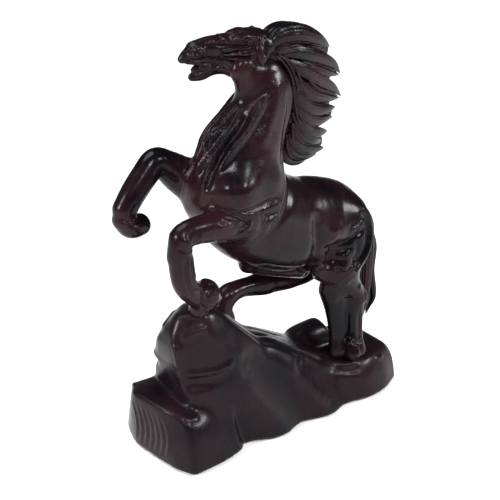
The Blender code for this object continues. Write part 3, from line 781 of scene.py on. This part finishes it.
# %% Carve the head
for side in (NEAR, FAR_SIDE):
    view = (POLL, TO_MUZZLE, TO_CROWN, TO_NEAR)
    cut = lambda line, width, depth, **how: head_skin.stroke(line, width, depth, side, view, **how)
    # the eye: socket, ball, lids and brow
    cut([(20.5, 10.1), (15, 10.2), (9, 10.3)], 1.9, -0.8)
    cut([(15.6, 10.4), (13.2, 10.4)], 1.3, 1.1, taper=0.0)
    cut([(22.8, 10.9), (18.5, 8.7), (14, 8.0), (10.5, 8.5), (7.2, 10.4)], 0.42, 1.26)
    cut([(22.5, 11.2), (18, 11.7), (13.5, 12.3), (8, 12.0)], 0.5, 1.01)
    cut([(23.5, 9.2), (18.5, 7.3), (13, 6.9), (8.5, 7.6)], 0.42, -1.01)
    # flames on the cheek
    cut([(23.8, 5.0), (19.5, 5.3), (15.5, 6.3), (11, 6.2), (7.6, 7.0)], 0.42, 1.01)
    cut([(23.4, 4.4), (19.5, 4.3), (15.5, 5.0), (11.5, 4.6), (7.4, 5.2)], 0.42, -1.26)
    cut([(23.0, 3.9), (19.3, 3.3), (15.3, 3.8), (11.5, 3.3), (7.4, 3.8)], 0.42, 1.01)
    cut([(22.6, 3.4), (19, 2.3), (15, 2.6), (11.3, 2.0), (7.4, 2.6)], 0.42, -1.26)
    cut([(22.0, 2.8), (18.7, 1.4), (15, 1.4), (11, 0.8), (7.4, 1.4)], 0.42, 1.01)
    cut([(21.2, 2.2), (18, 0.3), (14.5, 0.1), (11, -0.5), (7.6, 0.4)], 0.42, -1.26)
    cut([(20.0, 1.0), (17, -0.8), (14, -1.2), (10.5, -1.6), (7.8, -0.6)], 0.45, 0.85)
    cut([(17.5, 5.6), (14.5, 4.2), (12.3, 4.0)], 0.42, -0.85)
    # ear, jowl, bridge, nostril and lips
    cut([(5.2, 10.5), (5.6, 6), (4.6, 1.5)], 0.55, -0.8)
    cut([(8.2, 11.5), (8.0, 6), (7.0, 1.0), (5.0, -3.5)], 0.6, -0.9)
    cut([(2.2, 11), (1.8, 6), (2.2, 1)], 0.6, -0.8)
    cut([(24.5, -2.8), (20.5, -1.6), (17, -3.4), (13.5, -6.5), (9, -9)], 0.6, -0.5)
    cut([(31, 8.2), (25, 8.4), (20.5, 8.0)], 0.9, -0.45)
    cut([(31.0, 6.8), (32.6, 7.2), (34.4, 6.6), (35.3, 5.0)], 0.45, 0.5)
    cut([(30.6, 5.6), (31.6, 4.2), (33.4, 3.4)], 0.45, 0.45)
    cut([(29.4, 5.2), (28.4, 3.0), (27.5, 0.5)], 0.5, -0.5)
    cut([(37.5, 2.6), (34, 1.4), (30, 0.2), (27.0, -1.2)], 0.35, -0.4)
    cut([(26.5, -2.6), (25.4, -0.8), (25.0, 1.4)], 0.45, -0.5)
    cut([(25.4, -2.4), (24.2, -0.4), (23.8, 1.2)], 0.4, 0.4)
    cut([(32.3, -5.4), (29.5, -4.4), (27, -3.6)], 0.35, -0.35)
    cut([(29.8, -8.2), (28.0, -6.2), (26.0, -5.0)], 0.45, -0.4)
head_skin.settle()
piece("horse_head_carved", head_skin.points, head_skin.faces, wood, "carved_wood", "horse_head",
      cuts=0.15 + 0.4 * head_skin.cuts)

# %% [markdown]
# ## The mane and the tail
#
# Hair on a carving is cut as locks. Each lock is a flat, tapering form that starts at the neck, follows it
# down and then swings out to a point, and each one is cut with fine parallel grooves. Here a lock is one
# closed surface: a flattened ring is carried along a curved path. Around the ring, the height falls in
# sharp valleys between the strands, and the lock turns a little about its own path near the tip. A solid
# core under the locks fills the gaps, the way the uncut wood does.

# %% One lock of hair
RINGS, ROUND = 56, 44


def lock(path, width, thickness, strands=4, turn=0.5, fullness=3.2):
    """One lock as points and faces. With t from root to tip and a around the ring,
    point = path(t) + side * W cos a + out * T sin a, where W and T shrink as (1 - t^fullness)^0.8 and the
    height falls by 0.26 (1 - |sin(pi strands s)|)^2 in the valleys, s = (1 + cos a) / 2."""
    line = through(np.asarray(path, float), 16)
    length = np.concatenate([[0.0], np.cumsum(np.linalg.norm(np.diff(line, axis=0), axis=1))])
    t = np.linspace(0.0, 1.0, RINGS)
    centre = np.stack([np.interp(t * length[-1], length, line[:, k]) for k in range(3)], axis=1)
    ahead = np.gradient(centre, axis=0)
    ahead /= np.linalg.norm(ahead, axis=1, keepdims=True)
    out = np.array([0.0, -1.0, 0.0]) + ahead * ahead[:, 1:2]
    out /= np.linalg.norm(out, axis=1, keepdims=True)
    side = np.cross(ahead, out)
    angle = turn * t ** 2
    side, out = (side * np.cos(angle)[:, None] + out * np.sin(angle)[:, None],
                 out * np.cos(angle)[:, None] - side * np.sin(angle)[:, None])
    taper = (0.55 + 0.45 * np.sin(np.pi / 2 * np.clip(t / 0.35, 0, 1))) * (1 - t ** fullness) ** 0.8
    taper *= np.sqrt(np.clip(t / 0.03, 0, 1)) * 0.985 + 0.015
    a = np.linspace(0, 2 * np.pi, ROUND, endpoint=False)
    across = (1 + np.cos(a)) / 2
    valley = 1 - 0.26 * (1 - np.abs(np.sin(np.pi * strands * across))) ** 2
    wide = (width * taper)[:, None] * (np.cos(a) * (0.4 + 0.6 * valley))[None]
    high = (thickness * taper)[:, None] * (np.sin(a) * valley)[None]
    ring = centre[:, None] + side[:, None] * wide[..., None] + out[:, None] * high[..., None]
    points = np.vstack([ring.reshape(-1, 3), centre[:1], centre[-1:]])
    at = np.arange(RINGS * ROUND).reshape(RINGS, ROUND)
    nxt = np.roll(at, -1, axis=1)
    walls = np.stack([at[:-1], at[1:], nxt[1:], nxt[:-1]], axis=-1).reshape(-1, 4)
    root = np.stack([np.full(ROUND, len(points) - 2), at[0], nxt[0]], axis=1)
    tip = np.stack([np.full(ROUND, len(points) - 1), nxt[-1], at[-1]], axis=1)
    return points, [walls, root, tip]


def gather(parts):
    """Several closed surfaces as one list of points and one list of faces, normals kept outward."""
    points, faces, start = [], [], 0
    for own, groups in parts:
        volume = 0.0
        for group in groups:
            a, b, c = own[group[:, 0]], own[group[:, 1]], own[group[:, 2]]
            volume += np.einsum("ij,ij->", a, np.cross(b, c))
            if group.shape[1] == 4:
                volume += np.einsum("ij,ij->", a, np.cross(c, own[group[:, 3]]))
        for group in groups:
            faces += ((group if volume > 0 else group[:, ::-1]) + start).tolist()
        points.append(own)
        start += len(own)
    return np.vstack(points), faces


def as_side(path, side, shrink=1.0, drop=0.0):
    """A path drawn on the near side as (x, offset, z), put on either side of the middle plane."""
    path = np.asarray(path, float)
    return np.stack([path[:, 0] * shrink, SADDLE + path[:, 1] * side, path[:, 2] - drop], axis=1)


print("points on the skin of one lock:", RINGS * ROUND + 2)


# %% [markdown]
# The locks of the mane are laid from the poll down, a broad one and a slimmer one in turn, and again on
# the far side, a little smaller. Thin locks lie along the edge where the mane leaves the neck.

# %% The mane
# each lock: path as (x, offset from the middle plane, z), width, thickness, strands, turn
LOCKS = [
    ([(-4.5, -1.5, 182.5), (2, -2.0, 186.6), (12, -2.5, 186.0), (22.5, -1.8, 181.6), (34.6, -0.2, 174.8)],
     5.6, 5.0, 5, 0.2),
    ([(0, -4.4, 181), (9, -5.2, 181.3), (18.5, -4.8, 178), (26, -3.2, 175.0)], 1.6, 1.5, 2, 0.3),
    ([(1.5, -4.6, 178.5), (9, -5.4, 178.8), (18.5, -5.0, 175.8), (28.5, -3.6, 171), (36, -2.0, 166.6),
      (41.6, -0.4, 160.8)], 3.7, 2.6, 5, 0.5),
    ([(12, -5.8, 173.5), (20, -5.8, 169.2), (28, -4.9, 165.6), (34.5, -3.4, 162.8), (40, -1.4, 161)], 2.2,
     1.7, 3, -0.9),
    ([(3.5, -6.0, 175.5), (11, -6.4, 171.3), (20, -5.8, 165.6), (28, -4.4, 160.4), (35.5, -2.6, 155.8),
      (42.3, -0.6, 149.8)], 3.7, 2.4, 5, 0.6),
    ([(5, -6.2, 171), (11, -6.6, 163.8), (17.5, -6.2, 158), (26, -4.8, 154), (34, -2.8, 151.2),
      (41, -1.0, 149.6)], 3.2, 2.1, 4, -0.7),
    ([(6.3, -6.2, 165.5), (10, -6.6, 158.6), (15.5, -6.2, 152.7), (24, -4.8, 148.7), (32, -3.0, 147),
      (38.6, -0.8, 145.6)], 3.9, 2.4, 5, 0.4),
    ([(7.2, -6.0, 158), (10.8, -6.6, 151.6), (16.5, -6.2, 146.2), (24, -4.8, 143.2), (31, -3.0, 142.3),
      (37, -1.0, 141.2)], 3.5, 2.2, 5, -0.5),
    ([(7.6, -6.0, 152), (11.6, -6.6, 146), (17.5, -6.0, 140.8), (24.5, -4.6, 137.8), (33.2, -1.5, 135.4)],
     3.6, 2.3, 5, 0.6),
    ([(7.0, -5.8, 146.8), (10.3, -6.4, 141.6), (15.5, -6.0, 136.9), (22, -4.6, 133.8), (29.6, -1.6, 131.4)],
     3.2, 2.1, 4, -0.5),
    ([(6.0, -5.8, 142.8), (7.9, -6.4, 138), (12.5, -6.0, 133.6), (20, -4.6, 130.6), (31.2, -1.6, 127.6)],
     3.3, 2.2, 5, 0.5),
    ([(4.3, -5.6, 139.8), (5.5, -6.2, 134.8), (9.5, -5.8, 130.9), (17, -4.4, 128), (27, -1.5, 125.6)], 2.8,
     2.0, 4, -0.4),
    ([(2.5, -5.4, 137), (2.8, -6.0, 132.4), (5.8, -5.6, 128.8), (12, -4.2, 126.2), (20.5, -1.6, 124.6)], 2.2,
     1.7, 4, 0.3),
]
# thin locks along the edge of the mane, where it leaves the neck
FRINGE = [
    ([(-3.5, -6.2, 180), (0.5, -7.0, 176.5), (4.0, -7.4, 171.5), (6.0, -7.6, 165.5), (6.8, -7.7, 158.5)],
     0.75, 0.9, 1, 0.0),
    ([(-1.5, -6.2, 180), (3.0, -7.0, 176), (6.2, -7.6, 170.5), (8.2, -7.8, 164.5), (9.6, -7.8, 158)], 0.8,
     0.9, 1, 0.0),
    ([(1.0, -6.2, 179), (6.4, -7.4, 174), (9.4, -7.8, 168), (11.8, -7.8, 161.5), (16.5, -7.3, 156.5)], 0.8,
     0.9, 1, 0.0),
    ([(11.0, -7.2, 170.5), (15.5, -7.5, 165.5), (19.5, -7.2, 161.5), (26.0, -6.0, 157.5)], 0.8, 0.8, 1, 0.0),
    ([(14.0, -7.2, 170.0), (18.0, -7.2, 165.7), (22.5, -6.7, 162.0), (29.0, -5.2, 158.2)], 0.7, 0.8, 1, 0.0),
    ([(6.6, -7.4, 161), (7.6, -7.7, 153.5), (9.4, -7.8, 147.5), (13.4, -7.5, 142), (18.5, -6.6, 138.4)],
     0.75, 0.9, 1, 0.0),
    ([(7.8, -7.4, 156), (9.6, -7.8, 150.6), (13.2, -7.7, 145.8), (18.6, -7.0, 141.6)], 0.7, 0.9, 1, 0.0),
    ([(6.2, -7.0, 147), (6.4, -7.3, 140), (8.6, -7.2, 135), (13.5, -6.6, 131.8)], 0.7, 0.9, 1, 0.0),
    ([(3.6, -6.6, 142), (3.4, -7.0, 136), (5.4, -6.9, 131.4), (10.0, -6.3, 128.6)], 0.7, 0.9, 1, 0.0),
]
core = Clay((-8, SADDLE - 9, 120), (46, SADDLE + 9, 194), 0.8)
core.bone([(-1, 0, 178, 6.0), (4, 0, 181, 8.0), (13, 0, 181, 7.0), (22, 0, 178, 5.8), (30, 0, 174.5, 3.6)],
          2.0, (1, 0.72, 1))
core.bone([(5, 0, 171, 8.0), (8, 0, 162, 9.5), (9, 0, 150, 10.0), (8, 0, 140, 9.0), (7, 0, 133.5, 6.6)], 2.0,
          (1, 0.62, 1))
core.bone([(17, 0, 172, 7.5), (25, 0, 168, 6.0), (34, 0, 164.5, 4.2)], 2.0, (1, 0.62, 1))
core.bone([(17, 0, 161, 8.0), (26, 0, 156.5, 6.5), (35, 0, 153.5, 4.4)], 2.0, (1, 0.58, 1))
core.bone([(17, 0, 149, 8.0), (25, 0, 146, 6.5), (33, 0, 144.0, 4.0)], 2.0, (1, 0.56, 1))
core.bone([(14, 0, 137, 7.5), (21, 0, 134, 6.5), (27.5, 0, 131, 4.0)], 2.0, (1, 0.54, 1))
core_points, core_faces = skin(core)
core_points = even(core_points, core_faces, 2, 0.5)
strips = [(core_points, [core_faces])]
for side, shrink, drop in ((1, 1.0, 0.0), (-1, 0.985, 0.9)):
    for path, width, thickness, strands, turn in LOCKS + FRINGE:
        strips.append(lock(as_side(path, side, shrink, drop), width, thickness, strands, turn * side))
mane_points, mane_faces = gather(strips)
piece("mane_carved", mane_points, mane_faces, wood, "carved_wood", "mane", cuts=0.2)

# %% [markdown]
# Five locks leave the rump together, and their tips end close over the low ledge of the rock.

# %% The tail
TAIL_LOCKS = [
    ([(46, 0, 95), (54, 0, 90.5), (61, 0, 80), (62, 0, 66), (61.5, -0.4, 52), (62.5, -1.0, 42),
      (59.5, -2.4, 31.5)], 5.2, 3.8, 5, 0.2),
    ([(48, 2.2, 92), (57, 2.4, 85), (63.6, 2.2, 75), (63.8, 1.4, 61), (64.6, 0.4, 48), (66.5, -0.4, 39),
      (62.5, -1.6, 30)], 3.6, 2.8, 4, -0.3),
    ([(50, -2.4, 93), (57, -3.2, 84), (60.5, -3.6, 72), (59.5, -4.2, 58), (58.5, -4.8, 46), (56, -5.4, 31)],
     3.6, 2.6, 4, 0.4),
    ([(51, -2.6, 90), (58.6, -2.8, 81), (64.2, -2.6, 69), (63.4, -2.8, 56), (65.4, -3.0, 45),
      (66.6, -2.4, 38.5), (63.4, -2.2, 33)], 2.5, 2.2, 3, -0.3),
    ([(56, 1.6, 88), (61, 2.4, 78), (62.5, 3.2, 64), (61.5, 3.0, 50), (60.5, 1.6, 41), (58.2, -0.6, 32)],
     3.4, 2.6, 4, 0.3),
]
tail_points, tail_faces = gather([lock(as_side(path, 1), width, thickness, strands, turn, 5.0)
                                  for path, width, thickness, strands, turn in TAIL_LOCKS])
piece("tail_carved", tail_points, tail_faces, wood, "carved_wood", "tail", cuts=0.2)

# %% [markdown]
# ## The rock
#
# The horse stands on a carved rock: a square ledge in front, a round boulder under the fore hoof, a ridge
# that falls away to the back, and a low ledge under the hind hoof. Each one is a convex boulder. Its
# distance is the largest of the distances to its flat sides, and joining these softly rounds the edges.
# Swells and valleys then run down the near side, and the saddle behind the boulder is cut like bark.

# %% Boulders
ROCK_FLOOR = 1.3
ROCK_GRAIN = 0.85


def boulder(clay, corners, rounding=2.0, blend=2.0):
    """Melts the convex boulder with these corners into the clay: max over its sides of n . p - d, less
    0.35 times the rounding, which the soft maximum takes off the sides."""
    shell = bmesh.new()
    for corner in corners:
        shell.verts.new(corner)
    bmesh.ops.convex_hull(shell, input=list(shell.verts))
    sides = {tuple(np.round((*face.normal, face.normal @ face.verts[0].co), 2)) for face in shell.faces}
    shell.free()
    corners = np.asarray(corners, float)
    here, grids = clay.window(corners.min(0) - MARGIN, corners.max(0) + MARGIN)
    inside = np.full([s.stop - s.start for s in here], -FAR_AWAY, np.float32)
    for nx, ny, nz, d in sorted(sides):
        inside = smooth_max(inside, nx * grids[0] + ny * grids[1] + nz * grids[2] - d, rounding)
    clay.field[here] = smooth_min(clay.field[here], inside - 0.35 * rounding, blend)


FRONT_LEDGE = [(-69.5, -20, 0), (-66, -29.5, 0), (-40, -28.5, 0), (-32, -24, 0), (-30, 24, 0), (-63, 26, 0),
               (-70, 9, 0), (-68.8, -12.5, 29), (-65, -21, 25), (-60, -23.5, 22), (-47, -21.5, 20), (-42,
                                                                                                     -17,
                                                                                                     25),
               (-38, 18, 26), (-62, 21, 26), (-70.8, 10, 29)]
BOULDER = [(-52, -16, 0), (-34, -22, 0), (2, -27, 0), (6, 22, 0), (-48, 24, 0), (-56, -8, 30),
           (-60.5, -12.5, 43),
           (-43, -20.5, 43), (-61.5, -9, 58.5), (-45, -19, 60.5), (-60.5, 4, 57), (-54, 13, 49), (-55.5, -5,
                                                                                                  69.5),
           (-47, -13, 71), (-41, -12.5, 70.5), (-36.5, -9, 68.5), (-42, 7, 68), (-30, 12, 54), (-20, -16,
                                                                                                50),
                                                                                                (-14, 8, 48),
                                                                                                (-6, 20, 26)]
RIDGE = [(-20, -25, 0), (34, -29.5, 0), (34, 23, 0), (-20, 23, 0), (-26, -13, 54), (-16, 7, 48),
         (0, -14, 36),
         (6, 8, 37), (22, -17, 23), (26, 8, 26), (0, 19, 25), (24, 19, 19)]
REAR_LEDGE = [(16, -29.5, 0), (55, -29.6, 0), (67, -22, 0), (68, 14, 0), (54, 24, 0), (20, 24, 0),
              (28.5, -19, 20.6),
              (50, -24.5, 20.6), (61.5, -20, 21), (67.5, -21, 12), (68.5, 8, 12), (65.5, 6, 19.6),
              (54, 17, 19), (28, 14, 20.6)]
FAR_LUMP = [(14, -4, 12), (46, -6, 12), (50, 14, 12), (22, 18, 12), (19.5, -1.5, 28), (40, 0, 30.5),
            (43, 11, 30),
            (25, 14, 28), (28, 3, 31.5), (38, 6, 32)]
FORE_STEP = [(-58, -22, 0), (-36, -26, 0), (-34, 0, 0), (-58, 0, 0), (-57, -15, 36), (-40, -20, 34),
             (-38, -4, 40),
             (-57, -4, 40)]
rock = Clay((-76, -34, -3), (74, 31, 78), ROCK_GRAIN)
for corners, rounding in ((FRONT_LEDGE, 2.0), (BOULDER, 2.6), (RIDGE, 4.0), (REAR_LEDGE, 4.0),
                          (FAR_LUMP, 3.5),
                          (FORE_STEP, 3.0)):
    boulder(rock, corners, rounding, 2.6)
swell = lambda balls, flat=(1, 1, 1): rock.bone(balls, 7.0, flat, offset=0.0)
swell([(-37, -10, 44, 9), (-27, -14.5, 29, 10), (-17, -17.5, 14, 10.5), (-11, -18.5, 4, 10.5)])
swell([(-10, -9, 34, 8), (2, -14, 22, 9), (12, -17.5, 9, 10), (17, -18, 3, 10)])
swell([(26, -12, 14, 7), (38, -17, 9, 9), (50, -17, 7, 9)])
rock.hollow([(-25, -24.5, 40, 4.5), (-14, -29.4, 25, 6.4), (-1, -35, 9, 8.2), (5, -39, 0, 8.5)], 7.5,
            offset=0.0)
rock.hollow([(8, -24.5, 29, 4.0), (18, -29.8, 18, 6.0), (28, -36, 7, 8.0), (33, -39.5, 0, 8.5)], 7.5,
            offset=0.0)
rock.hollow([(-39, -31.5, 26, 4.0), (-33, -35, 12, 6.0), (-27, -38, 0, 8.0)], 6.0, offset=0.0)
level = (rock.low[2] + rock.step * np.arange(rock.count[2])).astype(np.float32)
rock.field = smooth_max(rock.field, np.broadcast_to(ROCK_FLOOR - level, rock.field.shape), 0.5)
print("samples in the rock's clay:", rock.field.size)

# %% [markdown]
# Shelves are cut into the boulder's sides, the sawn front keeps its tool lines, and the saddle gets bark.

# %% Carve the rock
rock_skin = Skin(rock, passes=2)
for side in (NEAR, FAR_SIDE):
    cut = lambda line, width, depth, **how: rock_skin.stroke(line, width, depth, side, **how)
    cut([(-60, 44.0), (-52, 43.4), (-43, 44.2), (-36, 47.0)], 1.8, 1.0)
    cut([(-60, 39.6), (-52, 38.8), (-43, 39.4), (-35, 42.5)], 3.0, -1.0)
    cut([(-60.5, 59), (-60.8, 52), (-60.4, 45)], 1.2, 0.7)
    cut([(-58.5, 60), (-53, 63), (-47, 65)], 1.5, 1.0)
    cut([(-66, 27.5), (-61, 25), (-56, 24.5)], 1.0, 0.6)
    cut([(24, 24), (31, 20.4), (40, 19.8)], 0.9, 0.8)
    cut([(24, 20.5), (31, 17.6), (40, 17.2)], 1.4, -0.7)
    cut([(50, 18), (57, 16.6)], 0.9, 0.5)
# the sawn front face keeps curved saw and gouge lines
front = ((-70.0, 0.0, 0.0), (0.0, -1.0, 0.0), (0.0, 0.0, 1.0), (-1.0, 0.0, 0.0))
for k in range(13):
    shift = 1.9 * k
    line = [(-12.5 + shift, 26.0 - 0.15 * k), (-9.0 + shift, 19.0), (-8.0 + shift, 11.0),
            (-10.5 + shift, 3.0)]
    rock_skin.stroke(line, 0.7, -0.42 if k % 2 else 0.32, 1.0, front, sharp=1.0)
# bark on the saddle behind the boulder, seen from above
above = ((0.0, 0.0, 0.0), (1.0, 0.0, 0.0), (0.0, 1.0, 0.0), (0.0, 0.0, 1.0))
waves = np.random.default_rng(5)
for k in range(15):
    y = -13.0 + 2.0 * k
    sway = waves.uniform(-1.0, 1.0, 6)
    line = [(-46 + 12.0 * j, y + 1.4 * sway[j] + 0.12 * j * (k - 7)) for j in range(6)]
    rock_skin.stroke(line, 0.8, (-0.55, 0.4, -0.35)[k % 3], 1.0, above, sharp=1.0)
rock_skin.settle()
rock_skin.points[:, 2] = np.maximum(rock_skin.points[:, 2], ROCK_FLOOR)
piece("rock_carved", rock_skin.points, rock_skin.faces, rock_wood, "rock_wood", "rock_base",
      cuts=rock_skin.cuts)

# %% [markdown]
# ## Felt and dowels
#
# Black felt is glued under the rock, so that it can't scratch a shelf. It is one flat sheet, cut to the
# outline of the rock. Beech dowels hold the joints from inside.

# %% Felt
felt, tree, surface, place = new_finish("black_felt", Roughness=0.95, Sheen_Weight=0.4)
fibres = noise(tree, place, 2600.0, 4.0, 0.7, 1.5)
tufts = noise(tree, place, 420.0, 3.0)
tree.links.new(ramp(tree, fibres, [(0.30, (0.004, 0.004, 0.005)), (0.75, (0.022, 0.021, 0.024))]),
               surface.inputs["Base Color"])
tree.links.new(bump(tree, sums(tree, "ADD", fibres, tufts), 0.5, 0.0003), surface.inputs["Normal"])

felt_low, felt_high = (np.array(corner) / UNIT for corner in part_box("base_felt"))
FELT_OUTLINE = [(-60, -21), (54, -21), (61, -15), (61, 12), (51, 18), (-56, 18), (-62, 6), (-62, -15)]


def cut_sheet(outline, low, high, step=2.0):
    """A flat sheet: rings of the outline, drawn in towards its middle, above and below. Ring k is
    middle + (1 - k / rings) (outline - middle), and the nap lifts the top by a slow wave of 0.03 mm."""
    corners = np.array(outline + outline[:1], float)
    lengths = np.linalg.norm(np.diff(corners, axis=0), axis=1)
    walked = np.concatenate([[0.0], np.cumsum(lengths)])
    at = np.linspace(0, walked[-1], int(walked[-1] / step), endpoint=False)
    rim = np.stack([np.interp(at, walked, corners[:, k]) for k in range(2)], 1)
    for _ in range(3):
        rim = 0.5 * rim + 0.25 * (np.roll(rim, 1, 0) + np.roll(rim, -1, 0))
    rim = low[:2] + (rim - rim.min(0)) / (rim.max(0) - rim.min(0)) * (high[:2] - low[:2])
    middle, rings = rim.mean(0), 12
    share = 1.0 - np.arange(rings) / rings
    flat = middle + share[:, None, None] * (rim - middle)
    wave = 0.03 * np.sin(0.9 * flat[..., 0]) * np.sin(1.1 * flat[..., 1])
    top = np.dstack([flat, high[2] - 0.03 + wave])
    bottom = np.dstack([flat, np.full(wave.shape, low[2])])
    count = len(rim)
    points = np.vstack([top.reshape(-1, 3), bottom.reshape(-1, 3),
                        [(*middle, high[2] - 0.03), (*middle, low[2])]])
    at = np.arange(rings * count).reshape(rings, count)
    nxt, under = np.roll(at, -1, 1), rings * count
    up = np.stack([at[:-1], nxt[:-1], nxt[1:], at[1:]], -1).reshape(-1, 4)
    down = up[:, ::-1] + under
    edge = np.stack([at[0], at[0] + under, nxt[0] + under, nxt[0]], -1)
    caps = [np.stack([at[-1], nxt[-1], np.full(count, 2 * under)], 1),
            np.stack([nxt[-1] + under, at[-1] + under, np.full(count, 2 * under + 1)], 1)]
    return points, up.tolist() + down.tolist() + edge.tolist() + caps[0].tolist() + caps[1].tolist()


felt_points, felt_faces = cut_sheet(FELT_OUTLINE, felt_low, felt_high)
felt_sheet = piece("felt_pad", felt_points, felt_faces, felt, "felt", "base_felt", crease=math.radians(40))

# %% [markdown]
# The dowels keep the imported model's shapes. Only their finish is new, and nobody sees it on the whole horse.

# %% Dowels
beech, tree, surface, place = new_finish("beech", Roughness=0.6)
stretched = shade(tree, "ShaderNodeMapping", {"Vector": place, "Scale": (1, 1, 0.1)}).outputs["Vector"]
grain = noise(tree, stretched, 900.0)
tree.links.new(ramp(tree, grain, [(0.3, (0.42, 0.27, 0.15)), (0.7, (0.58, 0.41, 0.25))]),
               surface.inputs["Base Color"])
tree.links.new(bump(tree, grain, 0.3, 0.0002), surface.inputs["Normal"])
dowels = [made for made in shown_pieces() if made.name.endswith("_dowel")]
for made in dowels:
    made.data.materials.clear()
    made.data.materials.append(beech)
print("beech dowels:", len(dowels))

# %% [markdown]
# ## Floor, light and camera
#
# The floor is wide pale paper. Four small round lamps give the narrow highlights, and one wide light from
# above keeps the paper even. The camera looks from the front left and a little from above.

# %% Stage
AZIMUTH, ELEVATION, DISTANCE = math.radians(-40.0), math.radians(25.0), 650.0
LENS, SENSOR = 105.12, 36.0
TARGET = Vector((-22.0, -15.0, 95.0))
ROOM, CEILING, FLOOR = 0.06, 2.95, 12.0
# name, place in metres, width in metres, power in watts
LAMPS = [
    ("left_lamp", (-0.75, 0.05, 0.42), 0.24, 7.0),
    ("right_lamp", (0.55, -0.50, 0.40), 0.22, 5.6),
    ("front_lamp", (-0.42, -0.72, 0.80), 0.22, 6.2),
    ("middle_lamp", (0.22, -0.80, 0.66), 0.18, 4.0),
]

camera_data = bpy.data.cameras.new("camera")
camera_data.lens, camera_data.sensor_width, camera_data.clip_start = LENS, SENSOR, 0.01
camera = bpy.data.objects.new("camera", camera_data)
back = Vector((math.sin(AZIMUTH) * math.cos(ELEVATION), -math.cos(AZIMUTH) * math.cos(ELEVATION),
               math.sin(ELEVATION)))
camera.location = (TARGET + back * DISTANCE) * UNIT
camera.rotation_mode = "QUATERNION"
camera.rotation_quaternion = back.to_track_quat("Z", "Y")
bpy.context.scene.collection.objects.link(camera)
bpy.context.scene.camera = camera

scene = bpy.context.scene
scene.view_settings.view_transform = "Standard"
world = bpy.data.worlds.new("studio")
world.use_nodes = True
scene.world = world
world.node_tree.nodes["Background"].inputs["Color"].default_value = (0.93, 0.95, 1.0, 1)
world.node_tree.nodes["Background"].inputs["Strength"].default_value = ROOM

floor_mesh = bpy.data.meshes.new("floor")
rim = np.linspace(0, 2 * np.pi, 96, endpoint=False)
floor_mesh.from_pydata(np.stack([FLOOR * np.cos(rim), FLOOR * np.sin(rim), 0 * rim], 1).tolist(), [],
                       [list(range(96))])
floor = bpy.data.objects.new("floor", floor_mesh)
scene.collection.objects.link(floor)
paper = bpy.data.materials.new("paper")
paper.use_nodes = True
sheet_paper = paper.node_tree.nodes["Principled BSDF"]
sheet_paper.inputs["Base Color"].default_value = (0.90, 0.90, 0.90, 1)
sheet_paper.inputs["Roughness"].default_value = 0.9
sheet_paper.inputs["Specular IOR Level"].default_value = 0.1
floor_mesh.materials.append(paper)
floor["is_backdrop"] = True


def lamp(name, place, size, power, aim=TARGET):
    """A soft round lamp that faces the middle of the figure. Its width is size."""
    data = bpy.data.lights.new(name, "AREA")
    data.shape, data.size, data.energy = "DISK", size, power
    made = bpy.data.objects.new(name, data)
    made.location = Vector(place)
    made.rotation_mode = "QUATERNION"
    made.rotation_quaternion = (made.location - aim * UNIT).to_track_quat("Z", "Y")
    scene.collection.objects.link(made)


for name, place, size, power in LAMPS:
    lamp(name, place, size, power)
# a wide soft light from above keeps the whole floor evenly pale
data = bpy.data.lights.new("ceiling_light", "SUN")
data.energy, data.angle = CEILING, math.radians(42.0)
ceiling = bpy.data.objects.new("ceiling_light", data)
ceiling.rotation_mode = "QUATERNION"
ceiling.rotation_quaternion = Vector((-0.25, 0.35, 1.0)).to_track_quat("Z", "Y")
scene.collection.objects.link(ceiling)

print("lamps:", len(LAMPS), "small ones and one wide; camera", round(DISTANCE), "mm away")

low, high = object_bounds()
